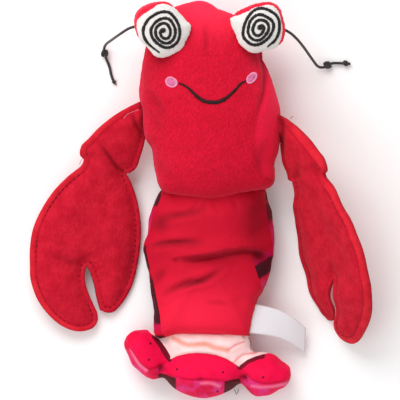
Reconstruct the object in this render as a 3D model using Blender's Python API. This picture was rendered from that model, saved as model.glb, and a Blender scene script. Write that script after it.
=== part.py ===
"""Stuffed shrimp toy with catnip in it, lying on its back.

The toy lies along Y with its head at +Y. Its front looks up, along +Z, and its back rests on Z = 0.
Sizes are named in millimetres and turned into metres where a mesh is made.
"""
import math

import bmesh
import bpy
from mathutils import Euler, Matrix, Vector, geometry

MM = 0.001

# Fits between pieces
CLEARANCE = 0.3
TUCK = 12.0

# Head and chest, one stuffed bag
HEAD_LENGTH = 99.0
HEAD_WIDTH = 68.8
HEAD_SEAM_HEIGHT = 20.0
HEAD_FRONT_RISE = 23.0
HEAD_BACK_DEPTH = 22.0

# Abdomen, a bag with folds across its front
ABDOMEN_LENGTH = 80.0
ABDOMEN_WIDTH = 65.8
ABDOMEN_SEAM_HEIGHT = 13.5
ABDOMEN_FRONT_RISE = 17.5
ABDOMEN_BACK_DEPTH = 15.0
FOLD_RISE = 3.2
WRINKLE_RISE = 1.1

# Tail fan, one stuffed piece: a narrow root, then three lobes that curl up
ROOT_LENGTH = 18.0
ROOT_WIDTH = 45.0
ROOT_TUCK = 4.0
ROOT_SEAM_HEIGHT = 9.0
ROOT_FRONT_RISE = 8.5
ROOT_BACK_DEPTH = 8.0
LOBE_LENGTH = 22.0
MIDDLE_LOBE_WIDTH = 42.5
MIDDLE_LOBE_FRONT_RISE = 6.4
MIDDLE_LOBE_BACK_DEPTH = 17.0
LEFT_LOBE_WIDTH = 28.0
LEFT_LOBE_FRONT_RISE = 6.0
LEFT_LOBE_BACK_DEPTH = 14.5
RIGHT_LOBE_WIDTH = 26.5
RIGHT_LOBE_FRONT_RISE = 6.0
RIGHT_LOBE_BACK_DEPTH = 15.2
# Where each lobe's middle lies from the top of the root, and how far it curls up and swings, in degrees
MIDDLE_LOBE_PLACE = (2.5, -19.8, 12.6)
MIDDLE_LOBE_LIFT = 51.0
MIDDLE_LOBE_SWING = 1.5
LEFT_LOBE_PLACE = (-25.0, -12.3, 11.2)
LEFT_LOBE_LIFT = 52.0
LEFT_LOBE_SWING = -57.0
RIGHT_LOBE_PLACE = (33.5, -20.8, 11.6)
RIGHT_LOBE_LIFT = 52.0
RIGHT_LOBE_SWING = -8.0

# Eye pads and their stitched spirals
EYE_FRONT_RISE = 4.6
EYE_BACK_DEPTH = 10.0
EYE_HEIGHT = 36.0
LEFT_EYE_DROP = 14.8
RIGHT_EYE_DROP = 14.2
LEFT_EYE_INSET = 16.6
RIGHT_EYE_INSET = 4.9
EYE_LEAN = 7.0
EYE_CROWN = 1.6
EYE_SWELL = 2.2
SPIRAL_LINE = 1.5
SPIRAL_STEP = 1.7
THREAD_RISE = 0.7

# Face
MOUTH_LINE = 2.0
MOUTH_DROP_FROM_TOP = 40.5
MOUTH_SIDE_SHIFT = 6.2
CHEEK_LENGTH = 7.0
CHEEK_WIDTH = 5.2
CHEEK_SPACING = 40.5

# Felt arms and claws
FELT_EDGE = 2.4
CLAW_PADDING = 7.6
STITCH_INSET = 2.8
PADDING_SLOPE = 11.0
PATTERN_STEP = 4.2
PADDING_STEP = 5.4
RIM_PINCH_SHARE = 0.75
LEFT_WRIST_DROP = 82.5
RIGHT_WRIST_DROP = 89.0
LEFT_WRIST_REACH = 12.6
RIGHT_WRIST_REACH = 21.6

# Woven label
LABEL_WIDTH = 13.6
LABEL_THICKNESS = 1.0
LABEL_ACROSS = (0.15, 0.99, 0.0)

# Cord antennae
CORD_DIAMETER = 1.4
KNOT_DIAMETER = 4.2
KNOT_LENGTH = 3.6
END_KNOT_DIAMETER = 3.2
END_KNOT_LENGTH = 2.4


# Profiles. Each row: share of the way down, sideways shift and half width as shares of the width,
# then the front's and the back's height as shares of their own sizes.
HEAD_PROFILE = (
    (0.00, 0.034, 0.400, 0.50, 0.45),
    (0.24, 0.036, 0.429, 0.66, 0.66),
    (0.30, 0.035, 0.445, 0.72, 0.74),
    (0.38, 0.047, 0.476, 0.82, 0.86),
    (0.46, 0.064, 0.496, 0.92, 0.96),
    (0.56, 0.089, 0.500, 0.99, 1.00),
    (0.67, 0.096, 0.493, 1.00, 1.00),
    (0.74, 0.113, 0.466, 0.99, 1.00),
    (0.81, 0.110, 0.450, 0.97, 1.00),
    (0.90, 0.118, 0.443, 0.88, 1.00),
    (1.00, 0.100, 0.436, 0.70, 0.90),
)
ABDOMEN_PROFILE = (
    (0.00, 0.122, 0.357, 1.00, 1.00),
    (0.037, 0.122, 0.357, 1.06, 1.00),
    (0.172, 0.099, 0.433, 1.04, 1.00),
    (0.259, 0.093, 0.473, 1.00, 1.00),
    (0.365, 0.090, 0.485, 0.89, 1.00),
    (0.471, 0.074, 0.500, 0.87, 1.00),
    (0.567, 0.076, 0.479, 0.80, 1.00),
    (0.663, 0.070, 0.458, 0.74, 1.00),
    (0.750, 0.046, 0.418, 0.69, 1.00),
    (0.817, 0.044, 0.397, 0.64, 1.00),
    (0.904, 0.032, 0.378, 0.57, 1.00),
    (1.000, 0.030, 0.342, 0.46, 0.90),
)
ROOT_PROFILE = (
    (0.00, 0.060, 0.430, 0.70, 0.90),
    (0.30, 0.085, 0.490, 1.00, 1.00),
    (0.60, 0.095, 0.500, 0.95, 1.00),
    (1.00, 0.100, 0.480, 0.75, 1.00),
)

# How a bag closes at its top, then at its end: share of its length, then the power of the curve
# across the bag and through its thickness.
HEAD_CAPS = ((0.242, 1.5, 2.3), (0.15, 2.6, 2.3))
ABDOMEN_CAPS = ((0.10, 2.2, 2.2), (0.06, 2.4, 2.0))
ROOT_CAPS = ((0.15, 2.2, 2.2), (0.20, 2.2, 2.2))

# Folds across the abdomen's front. Each row: where the fold starts and ends, as shares of the
# half width across and of the length down, then its rise and its reach in millimetres.
ABDOMEN_FOLDS = (
    ((-0.42, 0.514), (0.20, 0.499), (0.86, 0.471), FOLD_RISE, 4.2),
    ((-0.42, 0.264), (-0.28, 0.211), (-0.12, 0.172), WRINKLE_RISE, 2.8),
    ((-0.82, 0.437), (-0.55, 0.432), (-0.22, 0.422), WRINKLE_RISE, 3.0),
    ((-0.72, 0.735), (-0.20, 0.687), (0.16, 0.605), WRINKLE_RISE, 3.4),
    ((0.38, 0.807), (0.58, 0.774), (0.76, 0.750), WRINKLE_RISE, 2.4),
)

# Outlines of the eye pads: distance from the middle to the seam at each twelfth of a turn, from +X
LEFT_EYE_RADII = (12.9, 12.7, 12.7, 13.4, 13.0, 13.4, 13.0, 12.2, 12.6, 13.1, 12.1, 12.1)
RIGHT_EYE_RADII = (12.4, 13.2, 13.6, 11.6, 11.2, 12.9, 13.3, 12.1, 12.7, 11.3, 10.8, 11.6)

# Spirals: distance from the middle at each quarter turn, from the loose end inwards, and where that is
LEFT_SPIRAL_RADII = (10.6, 10.0, 9.9, 8.2, 7.8, 6.8, 7.0, 5.9, 5.6, 4.5, 4.4, 3.7, 3.0, 2.2, 1.2, 0.4)
RIGHT_SPIRAL_RADII = (9.8, 9.4, 9.0, 8.4, 8.4, 6.8, 6.8, 6.0, 6.1, 4.6, 4.3, 3.6, 3.4, 2.0, 1.2, 0.4)
LEFT_SPIRAL_MIDDLE = (0.0, -0.6)
RIGHT_SPIRAL_MIDDLE = (1.0, 0.9)
LEFT_SPIRAL_START = -102.0
RIGHT_SPIRAL_START = -69.0

# Mouth line, from the middle of the face
MOUTH_POINTS = (
    (-16.8, 0.0), (-12.2, -2.0), (-7.2, -6.5), (-2.8, -9.3),
    (2.2, -10.0), (7.2, -8.5), (11.8, -4.0), (16.8, 1.0),
)

# Felt pattern of one arm and claw, laid flat: distance outwards from the wrist, then up the arm
ARM_OUTER_EDGE = (
    (-15.9, 34.8), (-10.5, 31.7), (-2.9, 26.4), (4.6, 19.4), (9.6, 13.1), (12.8, 9.3), (13.3, 4.7),
    (11.0, 2.4),
)
CLAW_OUTER_EDGE = (
    (11.0, 2.4), (12.2, -1.0), (18.3, -6.9), (24.9, -15.1), (30.2, -25.2), (33.3, -35.0), (33.8, -44.6),
    (33.0, -52.6), (31.7, -60.5), (27.4, -69.6), (20.7, -77.0), (12.9, -82.0), (5.0, -83.6),
    (-1.9, -81.2), (-4.0, -77.0), (-3.3, -73.0),
)
SLIT_OUTER_SIDE = ((-3.3, -73.0), (0.7, -66.4), (4.0, -59.5), (4.9, -53.7), (4.5, -50.2))
SLIT_INNER_SIDE = ((4.5, -50.2), (2.1, -53.5), (-0.6, -59.7), (-2.6, -66.1), (-5.0, -71.9))
CLAW_INNER_EDGE = (
    (-5.0, -71.9), (-8.7, -72.8), (-12.2, -71.7), (-16.7, -65.4), (-19.9, -57.1), (-21.4, -47.1),
    (-21.7, -35.3), (-20.7, -25.6), (-18.1, -15.8), (-14.7, -8.1), (-11.0, -2.4),
)
ARM_INNER_EDGE = ((-11.0, -2.4), (-13.0, -1.7), (-15.8, 1.1), (-17.3, 6.8), (-18.9, 16.0), (-18.2, 21.4))
ARM_ROOT_EDGE = ((-18.2, 21.4), (-24.5, 21.8), (-24.0, 34.8), (-15.9, 34.8))

# How each arm lies. Rows: distance up the arm from the wrist, then the height of its middle line.
LEFT_ARM_HEIGHTS = (
    (-84.0, 4.2), (-60.0, 5.4), (-40.0, 6.4), (-20.0, 8.4), (0.0, 12.4), (28.0, 22.0), (36.0, 24.0),
)
RIGHT_ARM_HEIGHTS = (
    (-84.0, 5.0), (-73.0, 10.5), (-60.0, 16.8), (-40.0, 19.4), (-20.0, 24.0), (0.0, 30.5), (36.0, 39.0),
)
LEFT_ARM_ROLL = 12.0
RIGHT_ARM_ROLL = 54.0
LEFT_ARM_SWING = 5.9
RIGHT_ARM_SWING = 11.8

# Routes of the cords, from the eye pad's seam to the loose end: across and up from the pad's middle,
# and the height over the floor. Then how many points along a route each knot is.
LEFT_CORD_ROUTE = (
    (-13.1, 2.1, 31.2), (-17.0, 1.0, 30.6), (-21.0, -1.4, 27.4), (-24.2, -3.4, 21.5), (-26.8, -5.0, 14.0),
    (-28.8, -6.4, 7.4), (-29.8, -8.3, 2.9), (-29.6, -10.8, 2.25), (-28.9, -13.2, 1.9), (-27.9, -15.6, 1.2),
    (-27.0, -18.2, 0.85), (-26.4, -21.2, 0.75), (-25.6, -23.6, 0.75), (-24.5, -26.0, 0.75),
)
RIGHT_CORD_ROUTE = (
    (12.3, 0.1, 31.6), (16.1, -2.0, 30.4), (19.5, -5.0, 26.8), (22.5, -8.4, 20.8), (25.3, -12.0, 13.8),
    (27.9, -15.4, 7.4), (30.1, -17.9, 3.6), (32.7, -18.5, 2.5), (35.0, -17.3, 2.2), (37.4, -16.4, 1.9),
    (39.7, -16.3, 1.6), (41.9, -16.4, 1.7), (44.1, -16.4, 1.75), (46.5, -16.7, 1.6),
)
LEFT_KNOT_STEPS = 7
RIGHT_KNOT_STEPS = 8
RIGHT_END_KNOT_STEPS = 12

# Label's middle line, from the abdomen's side seam outwards: across, down and height
LABEL_ROUTE = (
    (-4.0, 0.4, 0.6), (2.0, 0.0, 0.2), (8.0, -1.0, -1.0), (14.0, -3.2, -3.4), (19.6, -6.4, -6.6),
    (24.4, -9.6, -9.6),
)
LABEL_DOWN_SHARE = 0.899

# Facets
ROUND_STEPS = 28
HEAD_ROW_STEPS = 11
ABDOMEN_ROW_STEPS = 20
ROOT_ROW_STEPS = 4
LOBE_STEPS = 22
EYE_STEPS = 28
CHEEK_STEPS = 16
PAD_ROW_STEPS = 5
CAP_STEPS = 5
KNOT_STEPS = 12
LABEL_STEPS = 4

PLUSH_RED = (0.84, 0.09, 0.20)
FELT_RED = (0.79, 0.11, 0.18)
LOBE_MAGENTA = (0.93, 0.06, 0.32)
EYE_WHITE = (0.93, 0.92, 0.91)
THREAD_BLACK = (0.09, 0.08, 0.08)
CHEEK_PINK = (0.95, 0.58, 0.78)
LABEL_WHITE = (0.91, 0.90, 0.91)


def clear_scene():
    for item in list(bpy.data.objects):
        bpy.data.objects.remove(item, do_unlink=True)


def linear(colour):
    """Screen colour to the linear colour that a shader takes."""
    return tuple(c / 12.92 if c <= 0.04045 else ((c + 0.055) / 1.055) ** 2.4 for c in colour)


def material(name, colour, roughness):
    made = bpy.data.materials.new(name)
    made.use_nodes = True
    shader = made.node_tree.nodes["Principled BSDF"]
    shader.inputs["Base Color"].default_value = (*linear(colour), 1.0)
    shader.inputs["Roughness"].default_value = roughness
    shader.inputs["Metallic"].default_value = 0.0
    made.diffuse_color = (*linear(colour), 1.0)
    return made


def hermite(a, b, slope_a, slope_b, t):
    square = t * t
    cube = square * t
    start = 2 * cube - 3 * square + 1
    end = 3 * square - 2 * cube
    return start * a + end * b + (cube - 2 * square + t) * slope_a + (cube - square) * slope_b


def smooth(rows, at, column):
    """Value of a profile between its rows, on a curve without corners."""
    last = len(rows) - 1
    if at <= rows[0][0]:
        return rows[0][column]
    if at >= rows[last][0]:
        return rows[last][column]
    low = max(k for k in range(last) if rows[k][0] <= at)

    def slope(k):
        before = rows[max(k - 1, 0)]
        after = rows[min(k + 1, last)]
        return (after[column] - before[column]) / (after[0] - before[0])

    span = rows[low + 1][0] - rows[low][0]
    share = (at - rows[low][0]) / span
    return hermite(rows[low][column], rows[low + 1][column], slope(low) * span, slope(low + 1) * span, share)


def curve_through(points, step):
    """Points about one step apart on a smooth curve through the given ones."""
    ends = [Vector(p) for p in points]
    ends = [2 * ends[0] - ends[1]] + ends + [2 * ends[-1] - ends[-2]]
    found = []
    for i in range(1, len(ends) - 2):
        before, start, stop, after = ends[i - 1:i + 3]
        count = max(1, round((stop - start).length / step))
        for k in range(count):
            tangents = ((stop - before) / 2, (after - start) / 2)
            found.append(hermite(start, stop, *tangents, k / count))
    found.append(ends[-2])
    return found


def make_object(name, points, faces, finish):
    """One named object from points in millimetres."""
    mesh = bpy.data.meshes.new(name)
    mesh.from_pydata([tuple(c * MM for c in p) for p in points], [], faces)
    shape = bmesh.new()
    shape.from_mesh(mesh)
    bmesh.ops.recalc_face_normals(shape, faces=shape.faces)
    shape.to_mesh(mesh)
    shape.free()
    mesh.shade_smooth()
    mesh.materials.append(finish)
    made = bpy.data.objects.new(name, mesh)
    bpy.context.scene.collection.objects.link(made)
    return made


def place(item, spot, turn=None, parent=None):
    item.location = tuple(c * MM for c in spot)
    if turn:
        item.rotation_euler = turn
    item.parent = parent
    return item


def press_on_floor(item):
    """Flattens what would lie below the floor against it."""
    frame = Matrix.LocRotScale(item.location, item.rotation_euler, None)
    back = frame.inverted()
    for vertex in item.data.vertices:
        spot = frame @ vertex.co
        spot.z = max(spot.z, 0.0)
        vertex.co = back @ spot
    item.data.update()


def hide_tool(item):
    """Keeps a piece that only shapes another out of the model."""
    item.hide_render = True
    item.display_type = "WIRE"


def seat(piece, carrier):
    """Cuts a piece where its neighbour is, with the clearance between them."""
    grown = carrier.copy()
    grown.data = carrier.data.copy()
    grown.modifiers.clear()
    grown.name = f"seat_of_{piece.name}_on_{carrier.name}"
    for vertex in grown.data.vertices:
        vertex.co += vertex.normal * CLEARANCE * MM
    hide_tool(grown)
    bpy.context.scene.collection.objects.link(grown)
    cut = piece.modifiers.new(f"seat on {carrier.name}", "BOOLEAN")
    cut.operation = "DIFFERENCE"
    cut.object = grown


def stitched_rings(rings, first_pole, last_pole):
    """Points and faces of a closed skin over rings of equal count, with a pole at each end."""
    count = len(rings[0])
    points = [first_pole] + [p for ring in rings for p in ring] + [last_pole]
    faces = [(0, 1 + k, 1 + (k + 1) % count) for k in range(count)]
    for row in range(len(rings) - 1):
        base = 1 + row * count
        for k in range(count):
            turn = (k + 1) % count
            faces.append((base + k, base + count + k, base + count + turn, base + turn))
    base = 1 + (len(rings) - 1) * count
    end = len(points) - 1
    faces += [(base + (k + 1) % count, base + k, end) for k in range(count)]
    return points, faces


class Bag:
    """A stuffed bag of two panels. It runs down from its own origin, with a seam along each side."""

    def __init__(self, length, width, seam, rise, depth, profile, caps, folds=()):
        self.length = length
        self.width = width
        self.seam = seam
        self.rise = rise
        self.depth = depth
        self.profile = profile
        (self.top, *self.top_powers), (self.end, *self.end_powers) = caps
        self.folds = folds

    def closing(self, share, direction):
        """How far the section has opened at a share of the length, 0 at the poles and 1 between.

        Direction 0 is across the bag and 1 is through its thickness.
        """
        if share < self.top:
            power = self.top_powers[direction]
            return (1 - (1 - max(share, 0.0) / self.top) ** power) ** (1 / power)
        if share > 1 - self.end:
            power = self.end_powers[direction]
            return (1 - (1 - max(1 - share, 0.0) / self.end) ** power) ** (1 / power)
        return 1.0

    def middle(self, share):
        return smooth(self.profile, share, 1) * self.width

    def half_width(self, share):
        return smooth(self.profile, share, 2) * self.width * self.closing(share, 0)

    def fold_rise(self, x, y):
        """What the folds add to the front at a point."""
        added = 0.0
        for start, bend, stop, rise, reach in self.folds:
            added += fold_height(self, (x, y), (start, bend, stop), rise, reach)
        return added

    def point(self, share, angle):
        opened = self.closing(share, 1)
        across = self.half_width(share) * math.cos(angle)
        lift = math.sin(angle)
        x = self.middle(share) + across
        y = -share * self.length
        if lift > 0:
            height = self.rise * smooth(self.profile, share, 3) * opened * lift
            height += self.fold_rise(x, y) * lift ** 0.5
        else:
            height = self.depth * smooth(self.profile, share, 4) * opened * lift
        return Vector((x, y, max(self.seam + height, 0.0)))

    def front(self, x, y):
        """Height of the front at a point."""
        share = -y / self.length
        reach = max(self.half_width(share), 0.001)
        across = min(abs(x - self.middle(share)) / reach, 1.0)
        return self.point(share, math.acos(across)).z if x >= self.middle(share) \
            else self.point(share, math.pi - math.acos(across)).z

    def shares(self, middle_steps):
        """Shares of the length at which the skin has a ring, closer together at the ends."""
        caps = [math.pi / 2 * k / CAP_STEPS for k in range(1, CAP_STEPS)]
        top = [self.top * (1 - math.cos(a) ** (2 / self.top_powers[0])) for a in caps]
        end = [1 - self.end * (1 - math.cos(a) ** (2 / self.end_powers[0])) for a in reversed(caps)]
        span = 1 - self.top - self.end
        between = [self.top + span * k / middle_steps for k in range(middle_steps + 1)]
        return top + between + end

    def build(self, name, finish, middle_steps):
        turns = [2 * math.pi * k / ROUND_STEPS for k in range(ROUND_STEPS)]
        rings = [[self.point(share, turn) for turn in turns] for share in self.shares(middle_steps)]
        first = Vector((self.middle(0.0), 0.0, self.seam))
        last = Vector((self.middle(1.0), -self.length, self.seam))
        return make_object(name, *stitched_rings(rings, first, last), finish)


def fold_height(bag, spot, route, rise, reach):
    """Rise of one fold at a point: a rounded lip above its line and a groove under it."""
    nearest = None
    shares = [Vector(p) for p in route]
    corners = [Vector((bag.middle(p.y) + p.x * bag.half_width(p.y), -p.y * bag.length)) for p in shares]
    here = Vector(spot)
    for part in range(len(corners) - 1):
        start, stop = corners[part], corners[part + 1]
        along = stop - start
        share = min(max((here - start).dot(along) / along.length_squared, 0.0), 1.0)
        foot = start + along * share
        distance = (here - foot).length
        if nearest is None or distance < nearest[0]:
            nearest = (distance, (part + share) / (len(corners) - 1), here.y - foot.y)
    distance, along, above = nearest
    fade = math.sin(math.pi * min(max(along, 0.04), 0.96)) ** 0.6
    side = 1 if above >= 0 else -1
    lip = math.exp(-((side * distance / reach - 0.7) / 0.75) ** 2)
    groove = math.exp(-((side * distance / reach + 0.35) / 0.45) ** 2)
    return rise * fade * (lip - 0.9 * groove)


class Pad:
    """A stuffed pad in its own plane, from its outline in polar form, with a front and a back."""

    def __init__(self, radii, front, back, crown=1.0, swell=(0.0, 0.0)):
        self.radii = radii
        self.front = front
        self.back = back
        self.crown = crown
        self.swell = Vector((*swell, 0.0))

    def reach(self, angle):
        """Distance from the middle to the outline in a direction."""
        count = len(self.radii)
        at = (angle / (2 * math.pi) * count) % count
        low = int(at)
        before, start, stop, after = (self.radii[(low + k) % count] for k in (-1, 0, 1, 2))
        return hermite(start, stop, (stop - before) / 2, (after - start) / 2, at - low)

    def height(self, x, y):
        """Height of the front over the seam's plane at a point."""
        share = min(math.hypot(x, y) / self.reach(math.atan2(y, x)), 1.0)
        return self.front * (1 - share * share) ** (self.crown / 2)

    def ring(self, opening, steps, rise):
        spread = math.sin(opening)
        height = math.cos(opening) ** (self.crown if rise > 0 else 1.0)
        points = []
        for k in range(steps):
            turn = 2 * math.pi * k / steps
            arm = self.reach(turn) * spread
            points.append(Vector((arm * math.cos(turn), arm * math.sin(turn), rise * height)))
        return points

    def build(self, name, finish, steps, levels):
        tilts = [math.pi / 2 * k / levels for k in range(1, levels + 1)]
        rings = [self.ring(tilt, steps, self.front) for tilt in tilts]
        for tilt in reversed(tilts[:-1]):
            shift = self.swell * math.sin(2 * tilt)
            rings.append([p + shift for p in self.ring(tilt, steps, -self.back)])
        poles = (Vector((0, 0, self.front)), Vector((0, 0, -self.back)))
        return make_object(name, *stitched_rings(rings, *poles), finish)


def oval_radii(width, length, squareness, steps=16):
    """Polar outline of a rounded oval."""
    found = []
    for k in range(steps):
        turn = 2 * math.pi * k / steps
        across = abs(math.cos(turn) / (width / 2)) ** squareness
        along = abs(math.sin(turn) / (length / 2)) ** squareness
        found.append((across + along) ** (-1 / squareness))
    return found


def ribbon(name, route, widths, surface, finish):
    """A band of stitches that follows a line over a surface, with the clearance under it."""
    points = []
    last = len(route) - 1
    for k, spot in enumerate(route):
        heading = route[min(k + 1, last)] - route[max(k - 1, 0)]
        side = Vector((-heading.y, heading.x)).normalized() * widths[k] / 2
        for share, rise in ((1.0, 0.0), (0.6, THREAD_RISE), (-0.6, THREAD_RISE), (-1.0, 0.0)):
            x, y = spot.x + side.x * share, spot.y + side.y * share
            points.append(Vector((x, y, surface(x, y) + CLEARANCE + rise)))
    faces = [(0, 1, 2, 3), tuple(4 * last + k for k in (3, 2, 1, 0))]
    for row in range(last):
        base = 4 * row
        for k in range(4):
            turn = (k + 1) % 4
            faces.append((base + k, base + 4 + k, base + 4 + turn, base + turn))
    return make_object(name, points, faces, finish)


def spiral_route(radii, middle, start_turn, direction):
    """Points of a spiral, about one step apart, whose radius is given at each quarter turn."""
    rows = [(float(k), radius) for k, radius in enumerate(radii)]
    route = []
    quarter = 0.0
    while quarter < len(radii) - 1:
        turn = start_turn + direction * quarter * math.pi / 2
        radius = smooth(rows, quarter, 1)
        route.append(Vector((middle[0] + radius * math.cos(turn), middle[1] + radius * math.sin(turn))))
        quarter += SPIRAL_STEP / (max(radius, SPIRAL_STEP) * math.pi / 2)
    return route


def inside(loop, x, y):
    hit = False
    for k in range(len(loop)):
        a, b = loop[k - 1], loop[k]
        if (a.y > y) != (b.y > y) and x < a.x + (y - a.y) / (b.y - a.y) * (b.x - a.x):
            hit = not hit
    return hit


def edge_distance(loop, spot):
    best = 1e9
    for k in range(len(loop)):
        a, b = loop[k - 1], loop[k]
        along = b - a
        share = min(max((spot - a).dot(along) / max(along.length_squared, 1e-9), 0.0), 1.0)
        best = min(best, (spot - a - along * share).length)
    return best


def claw_outline():
    """Edge of the felt pattern, run by run, with its corners kept."""
    runs = (ARM_OUTER_EDGE, CLAW_OUTER_EDGE, SLIT_OUTER_SIDE, SLIT_INNER_SIDE, CLAW_INNER_EDGE,
            ARM_INNER_EDGE, ARM_ROOT_EDGE)
    loop = []
    for run in runs:
        step = PATTERN_STEP if run is not ARM_ROOT_EDGE else 2 * PATTERN_STEP
        loop += curve_through(run, step)[:-1]
    return loop


def inner_points(loop):
    """Points inside the pattern: a row on the stitch line, then an even net over the padding."""
    found = []

    def keep(spot, least, spacing):
        if not inside(loop, spot.x, spot.y) or edge_distance(loop, spot) < least:
            return
        if all((spot - other).length > spacing for other in found):
            found.append(spot)

    for k in range(len(loop)):
        heading = loop[(k + 1) % len(loop)] - loop[k - 1]
        inward = Vector((heading.y, -heading.x)).normalized()
        for side in (1, -1):
            keep(loop[k] + inward * side * STITCH_INSET, STITCH_INSET * 0.93, PATTERN_STEP * 0.55)
    low_x, high_x = min(p.x for p in loop), max(p.x for p in loop)
    low_y, high_y = min(p.y for p in loop), max(p.y for p in loop)
    for row in range(int((high_y - low_y) / PADDING_STEP) + 1):
        for column in range(int((high_x - low_x) / PADDING_STEP) + 1):
            x = low_x + (column + 0.5 * (row % 2)) * PADDING_STEP
            y = low_y + row * PADDING_STEP
            keep(Vector((x, y)), STITCH_INSET * 1.6, PADDING_STEP * 0.6)
    return found


def felt_half(distance):
    """Half of the felt's thickness at a distance from its edge: thin rim, then the padding."""
    edge = FELT_EDGE / 2
    pinched = edge * RIM_PINCH_SHARE
    if distance < STITCH_INSET:
        return pinched + (edge - pinched) * math.sin(math.pi * distance / STITCH_INSET)
    share = min((distance - STITCH_INSET) / PADDING_SLOPE, 1.0)
    return pinched + (CLAW_PADDING / 2 - pinched) * math.sin(math.pi / 2 * share)


class Arm:
    """Where a point of the flat felt pattern lies on the toy."""

    def __init__(self, side, wrist, swing, roll, heights):
        swing = math.radians(swing)
        roll = math.radians(roll)
        self.wrist = Vector((*wrist, 0.0))
        self.up = Vector((-side * math.sin(swing), math.cos(swing), 0.0))
        outwards = Vector((side * math.cos(swing), math.sin(swing), 0.0))
        self.across = outwards * math.cos(roll) + Vector((0, 0, 1)) * math.sin(roll)
        self.normal = Vector((0, 0, 1)) * math.cos(roll) - outwards * math.sin(roll)
        self.heights = heights

    def spot(self, across, along, rise):
        height = Vector((0, 0, smooth(self.heights, along, 1)))
        return self.wrist + height + self.up * along + self.across * across + self.normal * rise


def build_claw(name, arm, finish):
    loop = claw_outline()
    flat = loop + inner_points(loop)
    corners, _, triangles, *_ = geometry.delaunay_2d_cdt(flat, [], [list(range(len(loop)))], 1, 1e-5)
    halves = [felt_half(edge_distance(loop, p)) if k >= len(loop) else felt_half(0.0)
              for k, p in enumerate(corners)]
    count = len(corners)
    points = [arm.spot(p.x, p.y, half) for p, half in zip(corners, halves)]
    points += [arm.spot(p.x, p.y, -half) for p, half in zip(corners, halves)]
    faces = [tuple(face) for face in triangles]
    faces += [tuple(count + k for k in reversed(face)) for face in triangles]
    for k in range(len(loop)):
        turn = (k + 1) % len(loop)
        faces.append((turn, k, count + k, count + turn))
    claw = make_object(name, points, faces, finish)
    press_on_floor(claw)
    return claw


def build_cord(name, route, finish):
    """A cord as a curve through its route's points, with a point every two or three diameters."""
    data = bpy.data.curves.new(name, "CURVE")
    data.dimensions = "3D"
    data.bevel_depth = CORD_DIAMETER / 2 * MM
    data.bevel_resolution = 2
    data.use_fill_caps = True
    spots = curve_through(route, CORD_DIAMETER * 2.4)
    spline = data.splines.new("POLY")
    spline.points.add(len(spots) - 1)
    for point, spot in zip(spline.points, spots):
        point.co = (*(c * MM for c in spot), 1.0)
    data.materials.append(finish)
    cord = bpy.data.objects.new(name, data)
    bpy.context.scene.collection.objects.link(cord)
    return cord


def build_knot(name, route, at, diameter, length, finish):
    """A knot as a rounded ring round the cord, with the cord's hole through it."""
    heading = Vector(route[at + 1]) - Vector(route[at - 1])
    hole = CORD_DIAMETER / 2 + CLEARANCE
    outer = diameter / 2
    section = ((hole, 0.42), (0.55 * outer + 0.45 * hole, 0.5), (outer, 0.22), (outer, -0.22),
               (0.55 * outer + 0.45 * hole, -0.5), (hole, -0.42))
    points = []
    for k in range(KNOT_STEPS):
        turn = 2 * math.pi * k / KNOT_STEPS
        points += [Vector((r * math.cos(turn), r * math.sin(turn), h * length)) for r, h in section]
    faces = []
    size = len(section)
    for k in range(KNOT_STEPS):
        for j in range(size):
            here, there = k * size, (k + 1) % KNOT_STEPS * size
            faces.append((here + j, there + j, there + (j + 1) % size, here + (j + 1) % size))
    knot = make_object(name, points, faces, finish)
    return place(knot, route[at], heading.to_track_quat("Z", "Y").to_euler())


def build_label(root, finish):
    """Folded woven label that curls down from the abdomen's side seam."""
    route = curve_through([Vector(p) + root for p in LABEL_ROUTE], 2.6)
    across = Vector(LABEL_ACROSS) * LABEL_WIDTH
    last = len(route) - 1
    points = []
    for k, spot in enumerate(route):
        heading = (route[min(k + 1, last)] - route[max(k - 1, 0)]).normalized()
        rise = heading.cross(across).normalized() * LABEL_THICKNESS / 2
        rise = rise if rise.z > 0 else -rise
        upper = [spot + across * (c / LABEL_STEPS - 0.5) + rise for c in range(LABEL_STEPS + 1)]
        lower = [spot + across * (c / LABEL_STEPS - 0.5) - rise for c in reversed(range(LABEL_STEPS + 1))]
        points += upper + lower
    size = 2 * (LABEL_STEPS + 1)
    faces = [tuple(range(size)), tuple(last * size + k for k in reversed(range(size)))]
    for row in range(last):
        for k in range(size):
            turn = (k + 1) % size
            faces.append((row * size + k, (row + 1) * size + k, (row + 1) * size + turn, row * size + turn))
    return make_object("label", points, faces, finish)


def build_body(parts):
    """Head and abdomen, the lower bag tucked under the upper one."""
    plush = material("short_pile_plush", PLUSH_RED, 0.85)
    smooth_cloth = material("smooth_cloth", PLUSH_RED, 0.75)
    head = Bag(HEAD_LENGTH, HEAD_WIDTH, HEAD_SEAM_HEIGHT, HEAD_FRONT_RISE, HEAD_BACK_DEPTH,
               HEAD_PROFILE, HEAD_CAPS)
    abdomen = Bag(ABDOMEN_LENGTH, ABDOMEN_WIDTH, ABDOMEN_SEAM_HEIGHT, ABDOMEN_FRONT_RISE,
                  ABDOMEN_BACK_DEPTH, ABDOMEN_PROFILE, ABDOMEN_CAPS, ABDOMEN_FOLDS)
    parts["head"] = place(head.build("head", plush, HEAD_ROW_STEPS), (0.0, HEAD_LENGTH, 0.0))
    parts["abdomen"] = place(abdomen.build("abdomen", smooth_cloth, ABDOMEN_ROW_STEPS), (0.0, TUCK, 0.0))
    seat(parts["abdomen"], parts["head"])
    return head, abdomen


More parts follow.
